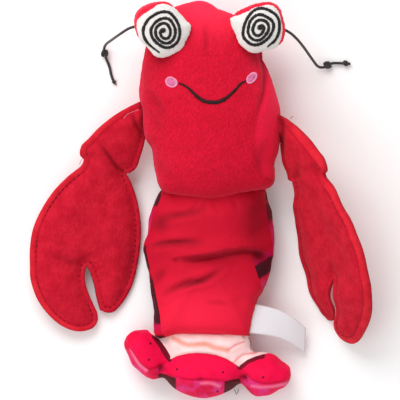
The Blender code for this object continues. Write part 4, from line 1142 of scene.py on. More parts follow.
# %% [markdown]
# ## The eyes
# Each eye is a small stuffed pad with a white felt front and a red plush back, sewn face to face and
# turned, so a thin red rim shows round the white. The edge of the felt is a little ragged.
# %% Eye pads
WHITE_BELOW_TOP = 1.6
SEAM_PINCH = 0.4
LEFT_EYE_OUTLINE = [
    (134.3, 22), (135, 15.5), (137.5, 11), (143.3, 5.6), (150.4, 2.8), (159.6, 1.4), (167.8, 2.2), (173.9, 6.1),
    (179, 12.5), (185, 19), (191, 25), (190.8, 30), (188.8, 36), (186, 41), (183.8, 46), (180, 50.2),
    (174.9, 53.6), (169.8, 56.2), (161.6, 57.8), (154.5, 55.6), (150.5, 51), (145.3, 46), (140.2, 41.3),
    (137, 35.7), (134.8, 29.6),
]
LEFT_WHITE = [
    (136, 22), (137.6, 19.4), (141, 16), (145.3, 12.8), (150, 10), (154.5, 7.1), (156, 4.8), (162.6, 3.2),
    (168.8, 4.6), (173.9, 7), (179, 10), (192, 14), (200, 25), (198, 45), (180, 62), (160, 66), (146, 60),
    (138, 46), (139, 39.5), (137.4, 33.7), (136, 28.6),
]
RIGHT_EYE_OUTLINE = [
    (234, 15.3), (236, 12.8), (244.3, 7.7), (252.4, 4.6), (261.6, 2.2), (269.8, 1.9), (276.9, 4.8), (281, 10.2),
    (283.5, 18.4), (285.3, 27.5), (284.8, 34.7), (282.3, 41.8), (278, 46.8), (270.8, 49.6), (263.7, 51.2),
    (258.6, 52.6), (252.4, 53), (247.3, 51.3), (242.2, 46.9), (238, 41.8), (235, 34), (232.7, 28.6),
    (230.3, 22.4), (230, 18.4),
]
RIGHT_WHITE = [
    (222, 18), (229.5, 17), (232, 16.3), (238, 15.3), (242, 13.3), (249.4, 10.2), (252.4, 7.9), (260.6, 6.1),
    (266.7, 4.3), (272.9, 5.1), (276.9, 8.7), (279, 12.2), (281, 18.4), (282.3, 24.5), (282.6, 30.6),
    (281.6, 38.8), (279, 44.5), (281, 56), (262, 62), (245, 60), (230, 46), (222, 30),
]
EYE_HEIGHT = 36.0


def eye_pad(side, middle, outline, white, seed):
    pad = merged_copy(f"eye_{side}", f"eye_pad_{side}")
    even_net(pad, 0.7)
    relax(pad, 4)
    fit_outline(pad, middle, [seen(*p, EYE_HEIGHT - 2.0) for p in outline], 60)
    spots = spots_of(pad)
    height = spots[:, 2] - EYE_HEIGHT
    white_share = outline_depth(spots, [seen(*p, EYE_HEIGHT) for p in white])
    store(pad, "white", np.minimum(white_share, height + WHITE_BELOW_TOP))
    border = np.exp(-(white_share / 0.5) ** 2) * (height > -3.0)
    push(pad, -SEAM_PINCH * border)
    rim = 1 - np.abs(normals_of(pad)[:, 2])
    push(pad, [noise.noise(Vector(p) / 0.9 + Vector((seed, 0, 0))) * 0.3 for p in spots_of(pad)] * rim)
    uneven(pad, 0.3, 5.0, seed)
    return pad


left_eye = eye_pad("left", LEFT_EYE_MIDDLE, LEFT_EYE_OUTLINE, LEFT_WHITE, 11.0)
right_eye = eye_pad("right", RIGHT_EYE_MIDDLE, RIGHT_EYE_OUTLINE, RIGHT_WHITE, 23.0)
print("eyes:", len(left_eye.data.polygons), "and", len(right_eye.data.polygons), "faces")

# %% [markdown]
# ## Felt and plush of the eyes
# One material serves both sides of a pad. The stored distance says where the white felt ends, and the
# fibres of the nap are added to it, so the border between white and red is frayed like real felt.
# %% Eye material
eye_cloth, tree, shader = new_material("white_felt_with_red_back", 0.9, sheen=0.15, sheen_roughness=0.5,
                                       specular=0.15)
nap = place_group(tree, nap_group, Fibre_Scale=1900.0, Patch_Scale=160.0, Detail=6.0)
patchy = edge_mask(tree, nap.outputs["Patches"], 0.5, 0.25)
white = blend_colour(tree, patchy, rgb(222, 219, 215), rgb(234, 232, 229))
white = blend_colour(tree, edge_mask(tree, nap.outputs["Fibres"], 0.5, 0.3), rgb(216, 212, 208), white)
red_back = blend_colour(tree, patchy, rgb(216, 16, 48), rgb(236, 34, 66))
ragged = maths(tree, "MULTIPLY", maths(tree, "SUBTRACT", nap.outputs["Fibres"], 0.5), 1.6)
mask = edge_mask(tree, maths(tree, "ADD", field(tree, "white"), ragged), 0.0, 0.12)
dress(tree, shader, blend_colour(tree, mask, red_back, white), nap.outputs["Height"], 0.22)
for pad, side in ((left_eye, "left"), (right_eye, "right")):
    pad.data.materials.append(eye_cloth)
    declare(pad, f"eye_{side}")
print(eye_cloth.name, "has", len(tree.nodes), "nodes")

# %% [markdown]
# ## Working with Geometry Nodes
# What repeats along a line, such as stitches, is best made by a tree of nodes: the line and a few named
# numbers go in, and hundreds of stitches come out. The helpers below make an empty tree with its inputs,
# run it on a line, and keep the result as a plain mesh.
# %% Geometry Nodes helpers
def new_tree(name, inputs):
    """A Geometry Nodes tree. Inputs are (name, kind, value)."""
    made = bpy.data.node_groups.new(name, "GeometryNodeTree")
    made.interface.new_socket("Geometry", in_out="INPUT", socket_type="NodeSocketGeometry")
    for label, kind, value in inputs:
        socket = made.interface.new_socket(label, in_out="INPUT", socket_type=f"NodeSocket{kind}")
        if value is not None:
            socket.default_value = value
    made.interface.new_socket("Geometry", in_out="OUTPUT", socket_type="NodeSocketGeometry")
    return made, made.nodes.new("NodeGroupInput").outputs, made.nodes.new("NodeGroupOutput").inputs[0]


def run_tree(piece, tree, values):
    """Runs a tree on a piece and keeps the result as the piece's own plain mesh."""
    modifier = piece.modifiers.new(tree.name, "NODES")
    modifier.node_group = tree
    names = {item.name: item.identifier for item in tree.interface.items_tree if item.in_out == "INPUT"}
    for label, value in values.items():
        modifier[names[label]] = value
    bake(piece)


def line_piece(name, line, widths=None, ups=None):
    """A chain of edges, with a width or an upward direction at each point."""
    mesh = bpy.data.meshes.new(name)
    mesh.from_pydata([tuple(p * MM) for p in line], [(k, k + 1) for k in range(len(line) - 1)], [])
    if widths is not None:
        layer = mesh.attributes.new("width", "FLOAT", "POINT")
        layer.data.foreach_set("value", [w * MM for w in widths])
    if ups is not None:
        layer = mesh.attributes.new("up", "FLOAT_VECTOR", "POINT")
        layer.data.foreach_set("vector", [c for up in ups for c in up])
    piece = bpy.data.objects.new(name, mesh)
    bpy.context.scene.collection.objects.link(piece)
    return piece


# %% [markdown]
# ## Satin stitch
# The spirals, the mouth and the cheeks are satin stitch: threads laid side by side across a line. The
# tree takes a line whose points carry a width, sets a thread across it at every step, drops the threads
# on the cloth with a ray from above, lifts their middle and gives them thickness.
# %% Satin stitch tree
satin, given, result = new_tree("satin_stitch", [
    ("Cloth", "Object", None), ("Row Spacing", "Float", 0.0003), ("Thread Radius", "Float", 0.00018),
    ("Arch", "Float", 0.0005), ("Seed", "Int", 1), ("Finish", "Material", None)])
line = node(satin, "GeometryNodeMeshToCurve", i0=given["Geometry"]).outputs[0]
rows = node(satin, "GeometryNodeResampleCurve", {"mode": "LENGTH"}, Curve=line, Length=given["Row Spacing"])
tangent = node(satin, "GeometryNodeInputTangent").outputs[0]
across = node(satin, "FunctionNodeAxesToRotation", {"primary_axis": "Z", "secondary_axis": "X"},
              i0=(0.0, 0.0, 1.0), i1=tangent).outputs[0]
jitter = node(satin, "FunctionNodeRandomValue", {"data_type": "FLOAT"}, i2=-0.07, i3=0.07, Seed=given["Seed"])
turned = node(satin, "ShaderNodeCombineXYZ", Z=jitter.outputs[1]).outputs[0]
across = node(satin, "FunctionNodeRotateRotation", {"rotation_space": "LOCAL"}, i0=across, i1=turned).outputs[0]
reach = node(satin, "GeometryNodeInputNamedAttribute", {"data_type": "FLOAT"}, Name="width").outputs[0]
vary = node(satin, "FunctionNodeRandomValue", {"data_type": "FLOAT"}, i2=0.76, i3=1.24, Seed=given["Seed"])
reach = maths(satin, "MULTIPLY", reach, vary.outputs[1])
size = node(satin, "ShaderNodeCombineXYZ", X=1.0, Y=reach, Z=1.0).outputs[0]
stitch = node(satin, "GeometryNodeCurvePrimitiveLine", Start=(0.0, -0.5, 0.0), End=(0.0, 0.5, 0.0)).outputs[0]
stitch = node(satin, "GeometryNodeResampleCurve", {"mode": "COUNT"}, Curve=stitch, Count=7).outputs[0]
laid = node(satin, "GeometryNodeInstanceOnPoints", Points=rows.outputs[0], Instance=stitch, Rotation=across,
            Scale=size).outputs[0]
laid = node(satin, "GeometryNodeRealizeInstances", i0=laid).outputs[0]
spot = node(satin, "GeometryNodeInputPosition").outputs[0]
cloth_mesh = node(satin, "GeometryNodeObjectInfo", i0=given["Cloth"]).outputs["Geometry"]
ray = node(satin, "GeometryNodeRaycast", Target_Geometry=cloth_mesh, Ray_Direction=(0.0, 0.0, -1.0),
           Source_Position=node(satin, "ShaderNodeVectorMath", {"operation": "ADD"}, i0=spot,
                                i1=(0.0, 0.0, 0.05)).outputs[0])
factor = node(satin, "GeometryNodeSplineParameter").outputs["Factor"]
swing = maths(satin, "SUBTRACT", maths(satin, "MULTIPLY", factor, 2.0), 1.0)
arch = maths(satin, "SUBTRACT", 1.0, maths(satin, "POWER", maths(satin, "ABSOLUTE", swing), 2.6))
lift = maths(satin, "MULTIPLY", arch, given["Arch"])
raised = node(satin, "ShaderNodeVectorMath", {"operation": "ADD"}, i0=ray.outputs["Hit Position"],
              i1=node(satin, "ShaderNodeCombineXYZ", Z=lift).outputs[0]).outputs[0]
laid = node(satin, "GeometryNodeSetPosition", i0=laid, Position=raised).outputs[0]
profile = node(satin, "GeometryNodeCurvePrimitiveCircle", Resolution=6, Radius=given["Thread Radius"])
swept = node(satin, "GeometryNodeCurveToMesh", Curve=laid, Profile_Curve=profile.outputs[0], Fill_Caps=True)
swept = node(satin, "GeometryNodeRealizeInstances", i0=swept.outputs[0]).outputs[0]
satin.links.new(node(satin, "GeometryNodeSetMaterial", i0=swept, Material=given["Finish"]).outputs[0], result)
print("tree made:", satin.name, "with", len(satin.nodes), "nodes")

# %% [markdown]
# ## The spirals
# Each eye carries one spiral line that starts at the rim and winds inwards, one way on the left eye and
# the other way on the right. Its route is a list of places in the picture, and a smooth curve runs
# through those. The line starts thin and is full after the first few millimetres.
# %% Spiral stitches
LEFT_SPIRAL = (
    (159.3, 52.4), (155.7, 49.8), (152.2, 47.1), (149, 44.3), (146.6, 41.5), (144.7, 38.4), (143.5, 35.2),
    (143.1, 31.7), (143.5, 28.1), (144.7, 24.9), (146.6, 21.8), (149, 18.6), (152.2, 16.4), (155.3, 14.3),
    (158.9, 12.7), (162.8, 11.8), (166.8, 11.9), (169.6, 12.7), (171.9, 14.7), (173.9, 17), (175.9, 19.4),
    (177.5, 22.6), (178.9, 25.7), (179.6, 29.7), (179.8, 33.6), (179.1, 37.6), (177.9, 40.8), (175.9, 43.5),
    (172.7, 45.9), (169.2, 47.5), (166, 47.5), (162.4, 46.7), (159.3, 44.7), (156.1, 42.3), (153.7, 39.6),
    (151.8, 36.4), (151, 32.8), (151, 29.3), (152.6, 26.1), (154.9, 23), (157.7, 20.6), (160.9, 19),
    (164.4, 18.2), (167.6, 18.6), (170.4, 20.2), (172.3, 23), (173.9, 25.7), (175.1, 28.9), (175.3, 32.8),
    (174.5, 36.8), (172.7, 40), (170, 42.3), (166.8, 43.3), (163.2, 42.7), (160.1, 40.8), (157.7, 38.4),
    (155.9, 35.2), (155.5, 32.1), (155.7, 28.9), (157.7, 26.1), (160.5, 24.1), (163.6, 23.2), (166.8, 24.1),
    (168.8, 26.5), (170.2, 29.7), (170.4, 32.8), (169.6, 36), (167.6, 38.4), (164.8, 38.6), (162.1, 37.2),
    (160.7, 34.8), (160.3, 32.4), (161.3, 30.1), (163.6, 28.9), (164.8, 31.3), (162.1, 31.3),
)
RIGHT_SPIRAL = (
    (267.5, 46.8), (270.6, 44.1), (274.4, 41.1), (277.1, 36.9), (278.6, 33.1), (279.4, 28.9), (279.4, 25.6),
    (279.4, 22.2), (278.2, 18.4), (275.7, 14.6), (271.9, 11.9), (267.7, 9.6), (263, 8.3), (259.7, 8.3),
    (256.3, 9.2), (252.9, 11.3), (250, 14.4), (247.5, 18), (245.6, 21.8), (244.1, 26), (243.3, 30.2),
    (243, 34.4), (244.1, 37.8), (246.6, 40.7), (250, 43.5), (253.4, 44.7), (257.1, 44.7), (260.9, 43.5),
    (264.7, 41.1), (268.5, 37.8), (270.8, 34.4), (272.7, 30.6), (273.6, 26.8), (273.3, 23.5), (271.7, 20.5),
    (268.5, 18), (264.7, 15.9), (260.9, 14.6), (257.1, 15), (254.2, 16.7), (251.3, 19.7), (249.4, 23),
    (248.5, 27.3), (247.9, 31), (248.7, 34.4), (250.8, 37.8), (253.8, 39.7), (257.1, 40.4), (260.9, 39.5),
    (263.9, 36.9), (266, 34.4), (268.1, 31), (268.7, 27.3), (267.9, 23.9), (265.6, 21.4), (262.6, 20.3),
    (259.2, 20.1), (255.9, 21.8), (253.8, 25.6), (252.7, 29.4), (253.4, 32.7), (255.5, 35.2), (258, 35.7),
    (260.9, 34.4), (263, 31.5), (263.9, 28.1), (262.6, 25.6), (260.1, 25.6), (258.4, 27.3), (258.8, 28.9),
    (261.4, 28.1),
)
SPIRAL_WIDTH = 1.25
LEAST_WIDTH = 0.3
ROW_SPACING = 0.42


def stitched_line(name, line, widths, cloth, finish, thread=0.24, arch=0.45, seed=1):
    piece = line_piece(name, line, widths=widths)
    run_tree(piece, satin, {"Cloth": cloth, "Row Spacing": ROW_SPACING * MM, "Thread Radius": thread * MM,
                            "Arch": arch * MM, "Seed": seed, "Finish": finish})
    print(f"{name}: {line_length(line):.0f} mm of stitching, {len(piece.data.polygons)} faces")
    return piece


def tapered(line, width, thin_start, thin_end):
    """Widths along a line, in millimetres, thin over a share of its length at each end."""
    count = len(line) - 1
    found = []
    for k in range(count + 1):
        share = k / count
        start = min(1.0, LEAST_WIDTH + share / thin_start)
        end = min(1.0, LEAST_WIDTH + (1 - share) / thin_end) if thin_end else 1.0
        found.append(width * start * end)
    return found


for side, route, pad, start, seed in (
    ("left", LEFT_SPIRAL, left_eye, 0.1, 3),
    ("right", RIGHT_SPIRAL, right_eye, 0.05, 4),
):
    path = even_line(smooth_line([seen(*p, EYE_HEIGHT + 4.0) for p in route], 0.4), 0.4)
    piece = stitched_line(f"eye_spiral_{side}_stitches", path, tapered(path, SPIRAL_WIDTH, start, 0.0), pad,
                          black_thread, seed=seed)
    declare(piece, f"eye_spiral_{side}")

# %% [markdown]
# ## The mouth and the cheeks
# The mouth is one curved line of dark satin stitch, thinner at its ends. Each cheek is a small tilted
# oval: an inner filling of mauve threads, and a brighter pink rim stitched round it.
# %% Mouth and cheeks
MOUTH = ((178.8, 82.9), (184.1, 85.2), (189.2, 88.8), (194.3, 93.9), (200.4, 99), (205.5, 101.5), (211.6, 102.3),
         (217.8, 102), (223.9, 99.5), (230, 94.9), (236.1, 88.8), (241.2, 83.2), (245.8, 80.6))
FACE_HEIGHT = 43.0
MOUTH_WIDTH = 1.65
CHEEK_RIM_WIDTH = 0.62
mouth_line = even_line(smooth_line([seen(*p, FACE_HEIGHT) for p in MOUTH], 0.5), 0.5)
smile = stitched_line("smile_stitches", mouth_line, tapered(mouth_line, MOUTH_WIDTH, 0.5, 0.5), head,
                      brown_thread, thread=0.22, arch=0.6, seed=5)
declare(smile, "smile")
mauve_thread = thread_material("mauve_satin_thread", rgb(184, 74, 124), rgb(248, 156, 196), sheen=0.1)


def cheek(node_name, px, py, slant, long_half, short_half, seed=7):
    """Filling and rim of one cheek. The rim stands for the plain solid."""
    name = f"{node_name}_stitches"
    middle = seen(px, py, FACE_HEIGHT)
    turn = Matrix.Rotation(math.radians(slant), 3, "Z")
    steps = [2 * k / 16 - 1 for k in range(17)]
    fill_line = [middle + turn @ Vector((step * long_half * 0.86, 0.0, 0.0)) for step in steps]
    fill_widths = [1.6 * short_half * math.sqrt(max(1 - step * step * 0.95, 0.02)) for step in steps]
    filling = stitched_line(f"{name}_filling", fill_line, fill_widths, head, mauve_thread, arch=0.35, seed=seed)
    ring = [middle + turn @ Vector((long_half * math.cos(2 * math.pi * k / 40),
                                    short_half * math.sin(2 * math.pi * k / 40), 0.0)) for k in range(41)]
    rim = stitched_line(name, ring, [CHEEK_RIM_WIDTH] * len(ring), head, pink_thread, thread=0.2, arch=0.5,
                        seed=seed + 1)
    declare(filling)
    declare(rim, node_name)


cheek("cheek_left", 171.3, 81.9, -28.0, 2.8, 2.2)
cheek("cheek_right", 251.9, 77.6, 48.0, 3.0, 1.75)

# %% [markdown]
# ## The felt arms
# An arm and its claw are cut in one shape from two layers of felt, sewn together round the edge with a
# little padding between them. The pattern is drawn flat first, as a maker would, in millimetres from the
# wrist. Then every point is laid on the toy: the left arm lies nearly flat, the right one leans on its
# outer edge. The thickness depends mostly on the distance from the edge.
# %% Felt pattern
ARM_OUTER_EDGE = (
    (-15.9, 34.8), (-10.5, 31.7), (-2.9, 26.4), (4.6, 19.4), (9.6, 13.1), (12.8, 9.3), (13.3, 4.7),
    (11.0, 2.4),
)
CLAW_OUTER_EDGE = (
    (11.0, 2.4), (12.2, -1.0), (18.3, -6.9), (24.9, -15.1), (30.2, -25.2), (33.3, -35.0), (33.8, -44.6),
    (33.0, -52.6), (31.7, -60.5), (27.4, -69.6), (20.7, -77.0), (12.9, -82.0), (5.0, -83.6),
    (-1.9, -81.2), (-4.0, -77.0), (-3.3, -73.0),
)
SLIT_OUTER_SIDE = ((-3.3, -73.0), (0.7, -66.4), (4.0, -59.5), (4.9, -53.7), (4.5, -50.2))
SLIT_INNER_SIDE = ((4.5, -50.2), (2.1, -53.5), (-0.6, -59.7), (-2.6, -66.1), (-5.0, -71.9))
CLAW_INNER_EDGE = (
    (-5.0, -71.9), (-8.7, -72.8), (-12.2, -71.7), (-16.7, -65.4), (-19.9, -57.1), (-21.4, -47.1),
    (-21.7, -35.3), (-20.7, -25.6), (-18.1, -15.8), (-14.7, -8.1), (-11.0, -2.4),
)
ARM_INNER_EDGE = ((-11.0, -2.4), (-13.0, -1.7), (-15.8, 1.1), (-17.3, 6.8), (-18.9, 16.0), (-18.2, 21.4))
ARM_ROOT_EDGE = ((-18.2, 21.4), (-24.5, 21.8), (-24.0, 34.8), (-15.9, 34.8))
SEWN_RUNS = (ARM_OUTER_EDGE, CLAW_OUTER_EDGE, SLIT_OUTER_SIDE, SLIT_INNER_SIDE, CLAW_INNER_EDGE, ARM_INNER_EDGE)
FELT_STEP = 1.05
sewn_edge, run_ends = [], []
for run in SEWN_RUNS:
    sewn_edge += smooth_line([(*p, 0.0) for p in run], FELT_STEP)[:-1]
    run_ends.append(len(sewn_edge))
pattern = sewn_edge + smooth_line([(*p, 0.0) for p in ARM_ROOT_EDGE], FELT_STEP)[:-1]
edge_length = line_length(sewn_edge)
outer_end = run_ends[1] / (len(sewn_edge) - 1)
notch_share = run_ends[0] / (len(sewn_edge) - 1)
print(f"felt pattern: {len(pattern)} points, {line_length(pattern):.0f} mm round")

# %% [markdown]
# ## Laying the felt on the toy
# The heights of each arm's middle line are a short table. The felt is a net of triangles inside the
# pattern, once above and once below. Between the stitches and the edge the two layers stay flat, and the
# stitches pull them together. Inside, the padding lifts them, and small puckers run in from each stitch.
# %% Felt arms
FELT_HALF = 1.2
PINCHED_HALF = 0.55
PADDING_HALF = 3.6
STITCH_INSET = 2.6
STITCH_PITCH = 2.65
PADDING_SLOPE = 11.0
PUCKER = 0.16
RIM_FADE = 14.0
LOWEST_FELT = 0.15
FELT_DRIFT = 0.9
FELT_DRIFT_SIZE = 14.0
THREAD_LIFT = 0.1
TOPSTITCH_LENGTH = 1.6
TOPSTITCH_RADIUS = 0.32
LEFT_ARM_HEIGHTS = (
    (-84.0, 4.2), (-60.0, 5.4), (-40.0, 6.4), (-20.0, 8.4), (0.0, 12.4), (28.0, 22.0), (36.0, 24.0),
)
RIGHT_ARM_HEIGHTS = (
    (-84.0, 5.0), (-73.0, 10.5), (-60.0, 16.8), (-40.0, 19.4), (-20.0, 24.0), (0.0, 30.5), (36.0, 39.0),
)


def table_value(rows, where):
    """A smooth value between the rows of a table."""
    last = len(rows) - 1
    if where <= rows[0][0]:
        return rows[0][1]
    if where >= rows[last][0]:
        return rows[last][1]
    low = max(k for k in range(last) if rows[k][0] <= where)

    def slope(k):
        before, after = rows[max(k - 1, 0)], rows[min(k + 1, last)]
        return (after[1] - before[1]) / (after[0] - before[0])

    span = rows[low + 1][0] - rows[low][0]
    return hermite(rows[low][1], rows[low + 1][1], slope(low) * span, slope(low + 1) * span,
                   (where - rows[low][0]) / span)


def outer_part(share):
    """1 along the outer edge of the arm and the claw, and 0 along the rest of the sewn edge."""
    ends = min(max((share - 0.02) / 0.05, 0.0), 1.0) * min(max((outer_end - share) / 0.03, 0.0), 1.0)
    return ends * (1 - 0.8 * math.exp(-((share - notch_share) / 0.012) ** 2))


class Arm:
    """Where a point of the flat pattern lies on the toy."""

    def __init__(self, side, wrist, swing, roll, heights, outer_inset, rim_bend, nudges=()):
        swing, roll = math.radians(swing), math.radians(roll)
        self.wrist = Vector((*wrist, 0.0)) + TOY_SHIFT
        self.up = Vector((-side * math.sin(swing), math.cos(swing), 0.0))
        outwards = Vector((side * math.cos(swing), math.sin(swing), 0.0))
        self.across = outwards * math.cos(roll) + Vector((0, 0, 1)) * math.sin(roll)
        self.normal = Vector((0, 0, 1)) * math.cos(roll) - outwards * math.sin(roll)
        self.bend = outwards * -rim_bend[0] + Vector((0, 0, rim_bend[1]))
        self.heights = heights
        self.nudges = nudges
        self.outer_inset = outer_inset

    def inset(self, share):
        """How far from the edge the seam runs."""
        return STITCH_INSET + (self.outer_inset - STITCH_INSET) * outer_part(share)

    def spot(self, across, along, rise, gap, share):
        """Gap is the distance from the sewn edge, and share is the way round it."""
        height = Vector((0, 0, table_value(self.heights, along)))
        spot = self.wrist + height + self.up * along + self.across * across + self.normal * rise
        inset = self.inset(share)
        near = gap / inset if gap < inset else max(1 - (gap - inset) / RIM_FADE, 0.0) ** 2
        spot += self.bend * near * outer_part(share)
        spot.z = max(spot.z, LOWEST_FELT)
        return Vector((*nudged(np.array(spot.xy), self.nudges), spot.z))


def felt_half(distance, share, inset):
    """Half of the thickness at a distance from the edge."""
    pucker = PUCKER * math.cos(2 * math.pi * share * edge_length / STITCH_PITCH)
    if distance < inset:
        part = distance / inset
        return FELT_HALF * (0.82 + 0.18 * part) - (FELT_HALF - PINCHED_HALF) * part ** 5
    part = min((distance - inset) / PADDING_SLOPE, 1.0)
    near = math.exp(-(distance - inset) / 2.2)
    steep = math.sin(math.pi / 2 * part) * 0.5 + (1 - (1 - part) ** 5) * 0.5
    return PINCHED_HALF + (PADDING_HALF - PINCHED_HALF) * steep - pucker * near * (1 - near) * 4


def felt_net():
    """Inside points of the pattern, with their distance from the edge and their share round it."""
    xs = np.arange(min(p.x for p in pattern), max(p.x for p in pattern), FELT_STEP)
    ys = np.arange(min(p.y for p in pattern), max(p.y for p in pattern), FELT_STEP * 0.87)
    net = np.array([(x + 0.5 * FELT_STEP * (row % 2), y, 0.0) for row, y in enumerate(ys) for x in xs])
    net = net[outline_depth(net, pattern) > FELT_STEP * 0.55]
    points = [Vector(p.xy) for p in pattern] + [Vector(p[:2]) for p in net]
    corners, _, triangles, *_ = geometry.delaunay_2d_cdt(points, [], [list(range(len(pattern)))], 1, 1e-5)
    spots = np.array([(*p, 0.0) for p in corners])
    gap, share, _ = to_line(spots, sewn_edge)
    gap[:len(sewn_edge)] = 0.0
    return spots, gap, share, [tuple(face) for face in triangles]


felt_spots, felt_gaps, felt_shares, felt_faces = felt_net()
print("felt net:", len(felt_spots), "points,", len(felt_faces), "triangles")


def felt_arm(name, arm, finish, seed):
    points = []
    insets = np.array([arm.inset(share) for share in felt_shares])
    for side in (1, -1):
        for p, gap, share, inset in zip(felt_spots, felt_gaps, felt_shares, insets):
            drift = noise.noise(Vector((p[0], p[1], seed)) / FELT_DRIFT_SIZE) * FELT_DRIFT * min(gap / 4.0, 1.0)
            points.append(arm.spot(p[0], p[1], side * felt_half(gap, share, inset) + drift, gap, share))
    count, rim = len(felt_spots), len(pattern)
    faces = list(felt_faces) + [tuple(count + k for k in reversed(face)) for face in felt_faces]
    inwards = []
    for k in range(rim):
        heading = pattern[(k + 1) % rim] - pattern[k - 1]
        inwards.append(Vector((heading.y, -heading.x, 0.0)).normalized())
    for k in range(rim):
        points.append(arm.spot(*(pattern[k] + inwards[k] * 0.4).xy, 0.0, felt_gaps[k], felt_shares[k]))
    for k in range(rim):
        turn = (k + 1) % rim
        middle, next_middle = 2 * count + k, 2 * count + turn
        faces += [(turn, k, middle, next_middle), (next_middle, middle, count + k, count + turn)]
    piece = new_piece(name, points, faces, finish)
    outer = np.array([outer_part(share) for share in felt_shares])
    for field_name, values in (
        ("rim", felt_gaps / insets), ("channel", np.abs(felt_gaps - insets)), ("outer", outer),
    ):
        store(piece, field_name, np.concatenate([values, values, values[:rim]]))
    shape = bmesh.new()
    shape.from_mesh(piece.data)
    bmesh.ops.recalc_face_normals(shape, faces=shape.faces)
    shape.to_mesh(piece.data)
    shape.free()
    return piece


# %% [markdown]
# ## Felt
# Felt has no weave: its fibres lie every way, so it is matt, with fine tufts and slow blotches. Its
# colour follows the stored distances: painted light makes the flat rim outside the stitches on the outer
# edge brighter, and painted shade darkens the line where the stitches pull the layers together. The
# creases at the wrist are drawn last, with painted shade in them.
# %% Felt material
felt, tree, shader = new_material("red_craft_felt", 0.92, sheen=0.14, sheen_roughness=0.5,
                                  sheen_tint=rgb(255, 120, 120), specular=0.12)
nap = place_group(tree, nap_group, Fibre_Scale=1000.0, Patch_Scale=190.0, Stretch=(1.0, 0.55, 1.0), Detail=7.0)
patchy = edge_mask(tree, nap.outputs["Patches"], 0.5, 0.25)
body = blend_colour(tree, patchy, rgb(190, 16, 42), rgb(214, 30, 54))
tufts = edge_mask(tree, nap.outputs["Fibres"], 0.5, 0.25)
body = blend_colour(tree, tufts, blend_colour(tree, 0.45, body, rgb(150, 6, 26)), body)
# Painted shade: a darker line along the stitch channel, darker still on the outer edge.
seam_shade = blend_colour(tree, field(tree, "outer"), rgb(190, 18, 44), rgb(176, 14, 38))
body = blend_colour(tree, edge_mask(tree, field(tree, "channel"), 0.5, 0.4), seam_shade, body)
edge_wobble = maths(tree, "MULTIPLY", nap.outputs["Fibres"], 0.25)
# Painted light: the flat rim outside the stitches is lighter on the outer edge, which faces the light.
rim_light_share = edge_mask(tree, maths(tree, "ADD", field(tree, "rim"), edge_wobble), 0.95, 0.14)
painted_rim_light = blend_colour(tree, patchy, rgb(202, 24, 44), rgb(220, 38, 54))
painted_rim_light = blend_colour(tree, field(tree, "outer"), body, painted_rim_light)
body = blend_colour(tree, rim_light_share, painted_rim_light, body)
# Painted shade in the creases.
body = with_painted_shade(tree, body, rgb(104, 0, 20))
dress(tree, shader, body, nap.outputs["Height"], 0.35)

left_arm = Arm(-1, (-47.0, 16.5), 5.9, 12.0, LEFT_ARM_HEIGHTS, 2.8, (0.0, 0.0))
RIGHT_NUDGES = (
    (287.5, 163.8, -2.5, -1, 9), (294, 184.5, -4, -4, 9), (301.9, 187, -4.5, -4.5, 6), (325, 166, 1, 3, 9),
    (350, 205, -7, 0, 20), (363, 235, -6.5, 0, 20), (371, 265, -4.5, 0, 20), (374.5, 293, -2.5, 0, 18),
    (348, 341.6, 4, 2, 12), (305, 275.4, 2.5, 0, 14), (298, 238.8, 1.5, 0, 12), (295.5, 205, -2.5, 0, 10),
    (336, 293, -6, 2, 15), (338, 325, -3, 0, 10), (318, 308, 4, 0, 14), (326, 323, 2, -4, 9),
)
right_arm = Arm(1, (56.0, 10.0), 11.8, 54.0, RIGHT_ARM_HEIGHTS, 3.5, (1.4, 1.7), RIGHT_NUDGES)
left_claw = felt_arm("felt_claw_left", left_arm, felt, 1.0)
right_claw = felt_arm("felt_claw_right", right_arm, felt, 2.0)
# Creases that pull the felt in, with painted shade in them.
creases(left_claw, (
    (1.0, 0.9, 0.6, 0.75, ((99, 143), (106, 152), (112, 160), (117, 167), (126, 174))),
    (0.5, 0.8, 0.4, 0.7, ((131.5, 112), (134, 119), (137, 126), (141, 132))),
    (0.5, 1.3, 0.4, 0.8, ((141, 99), (143, 110), (143.5, 126), (142, 142))),
    (0.5, 1.6, 0.6, 0.3, ((52, 256), (64, 260), (76, 263), (86, 262))),
))
creases(right_claw, (
    (0.6, 1.3, 0.6, 0.35, ((294, 163), (297, 172), (298, 183))),
    (0.4, 1.2, 0.6, 0.2, ((330, 276), (331, 268), (330, 256))),
    (0.5, 1.5, 0.3, 0.8, ((280, 112), (281.5, 124), (281.5, 140), (280, 154))),
))
for piece, side in ((left_claw, "left"), (right_claw, "right")):
    declare(piece, f"claw_{side}")
    print(f"{piece.name}: {len(piece.data.polygons)} faces")

# %% [markdown]
# ## Topstitching
# The two layers are held by a running stitch a few millimetres inside the edge. A second tree takes the
# stitch line, puts a short thread at every pitch along it, and turns each one along the line. The thread
# is a long ellipsoid that lies low on the felt.
# %% Running stitch tree
running, given, result = new_tree("running_stitch", [
    ("Pitch", "Float", 0.00265), ("Stitch Length", "Float", 0.0019), ("Thread Radius", "Float", 0.00026),
    ("Seed", "Int", 1), ("Finish", "Material", None)])
line = node(running, "GeometryNodeMeshToCurve", i0=given["Geometry"]).outputs[0]
rows = node(running, "GeometryNodeResampleCurve", {"mode": "LENGTH"}, Curve=line, Length=given["Pitch"]).outputs[0]
tangent = node(running, "GeometryNodeInputTangent").outputs[0]
up = node(running, "GeometryNodeInputNamedAttribute", {"data_type": "FLOAT_VECTOR"}, Name="up").outputs[0]
turn = node(running, "FunctionNodeAxesToRotation", {"primary_axis": "X", "secondary_axis": "Z"},
            i0=tangent, i1=up).outputs[0]
vary = node(running, "FunctionNodeRandomValue", {"data_type": "FLOAT"}, i2=0.88, i3=1.08,
            Seed=given["Seed"]).outputs[1]
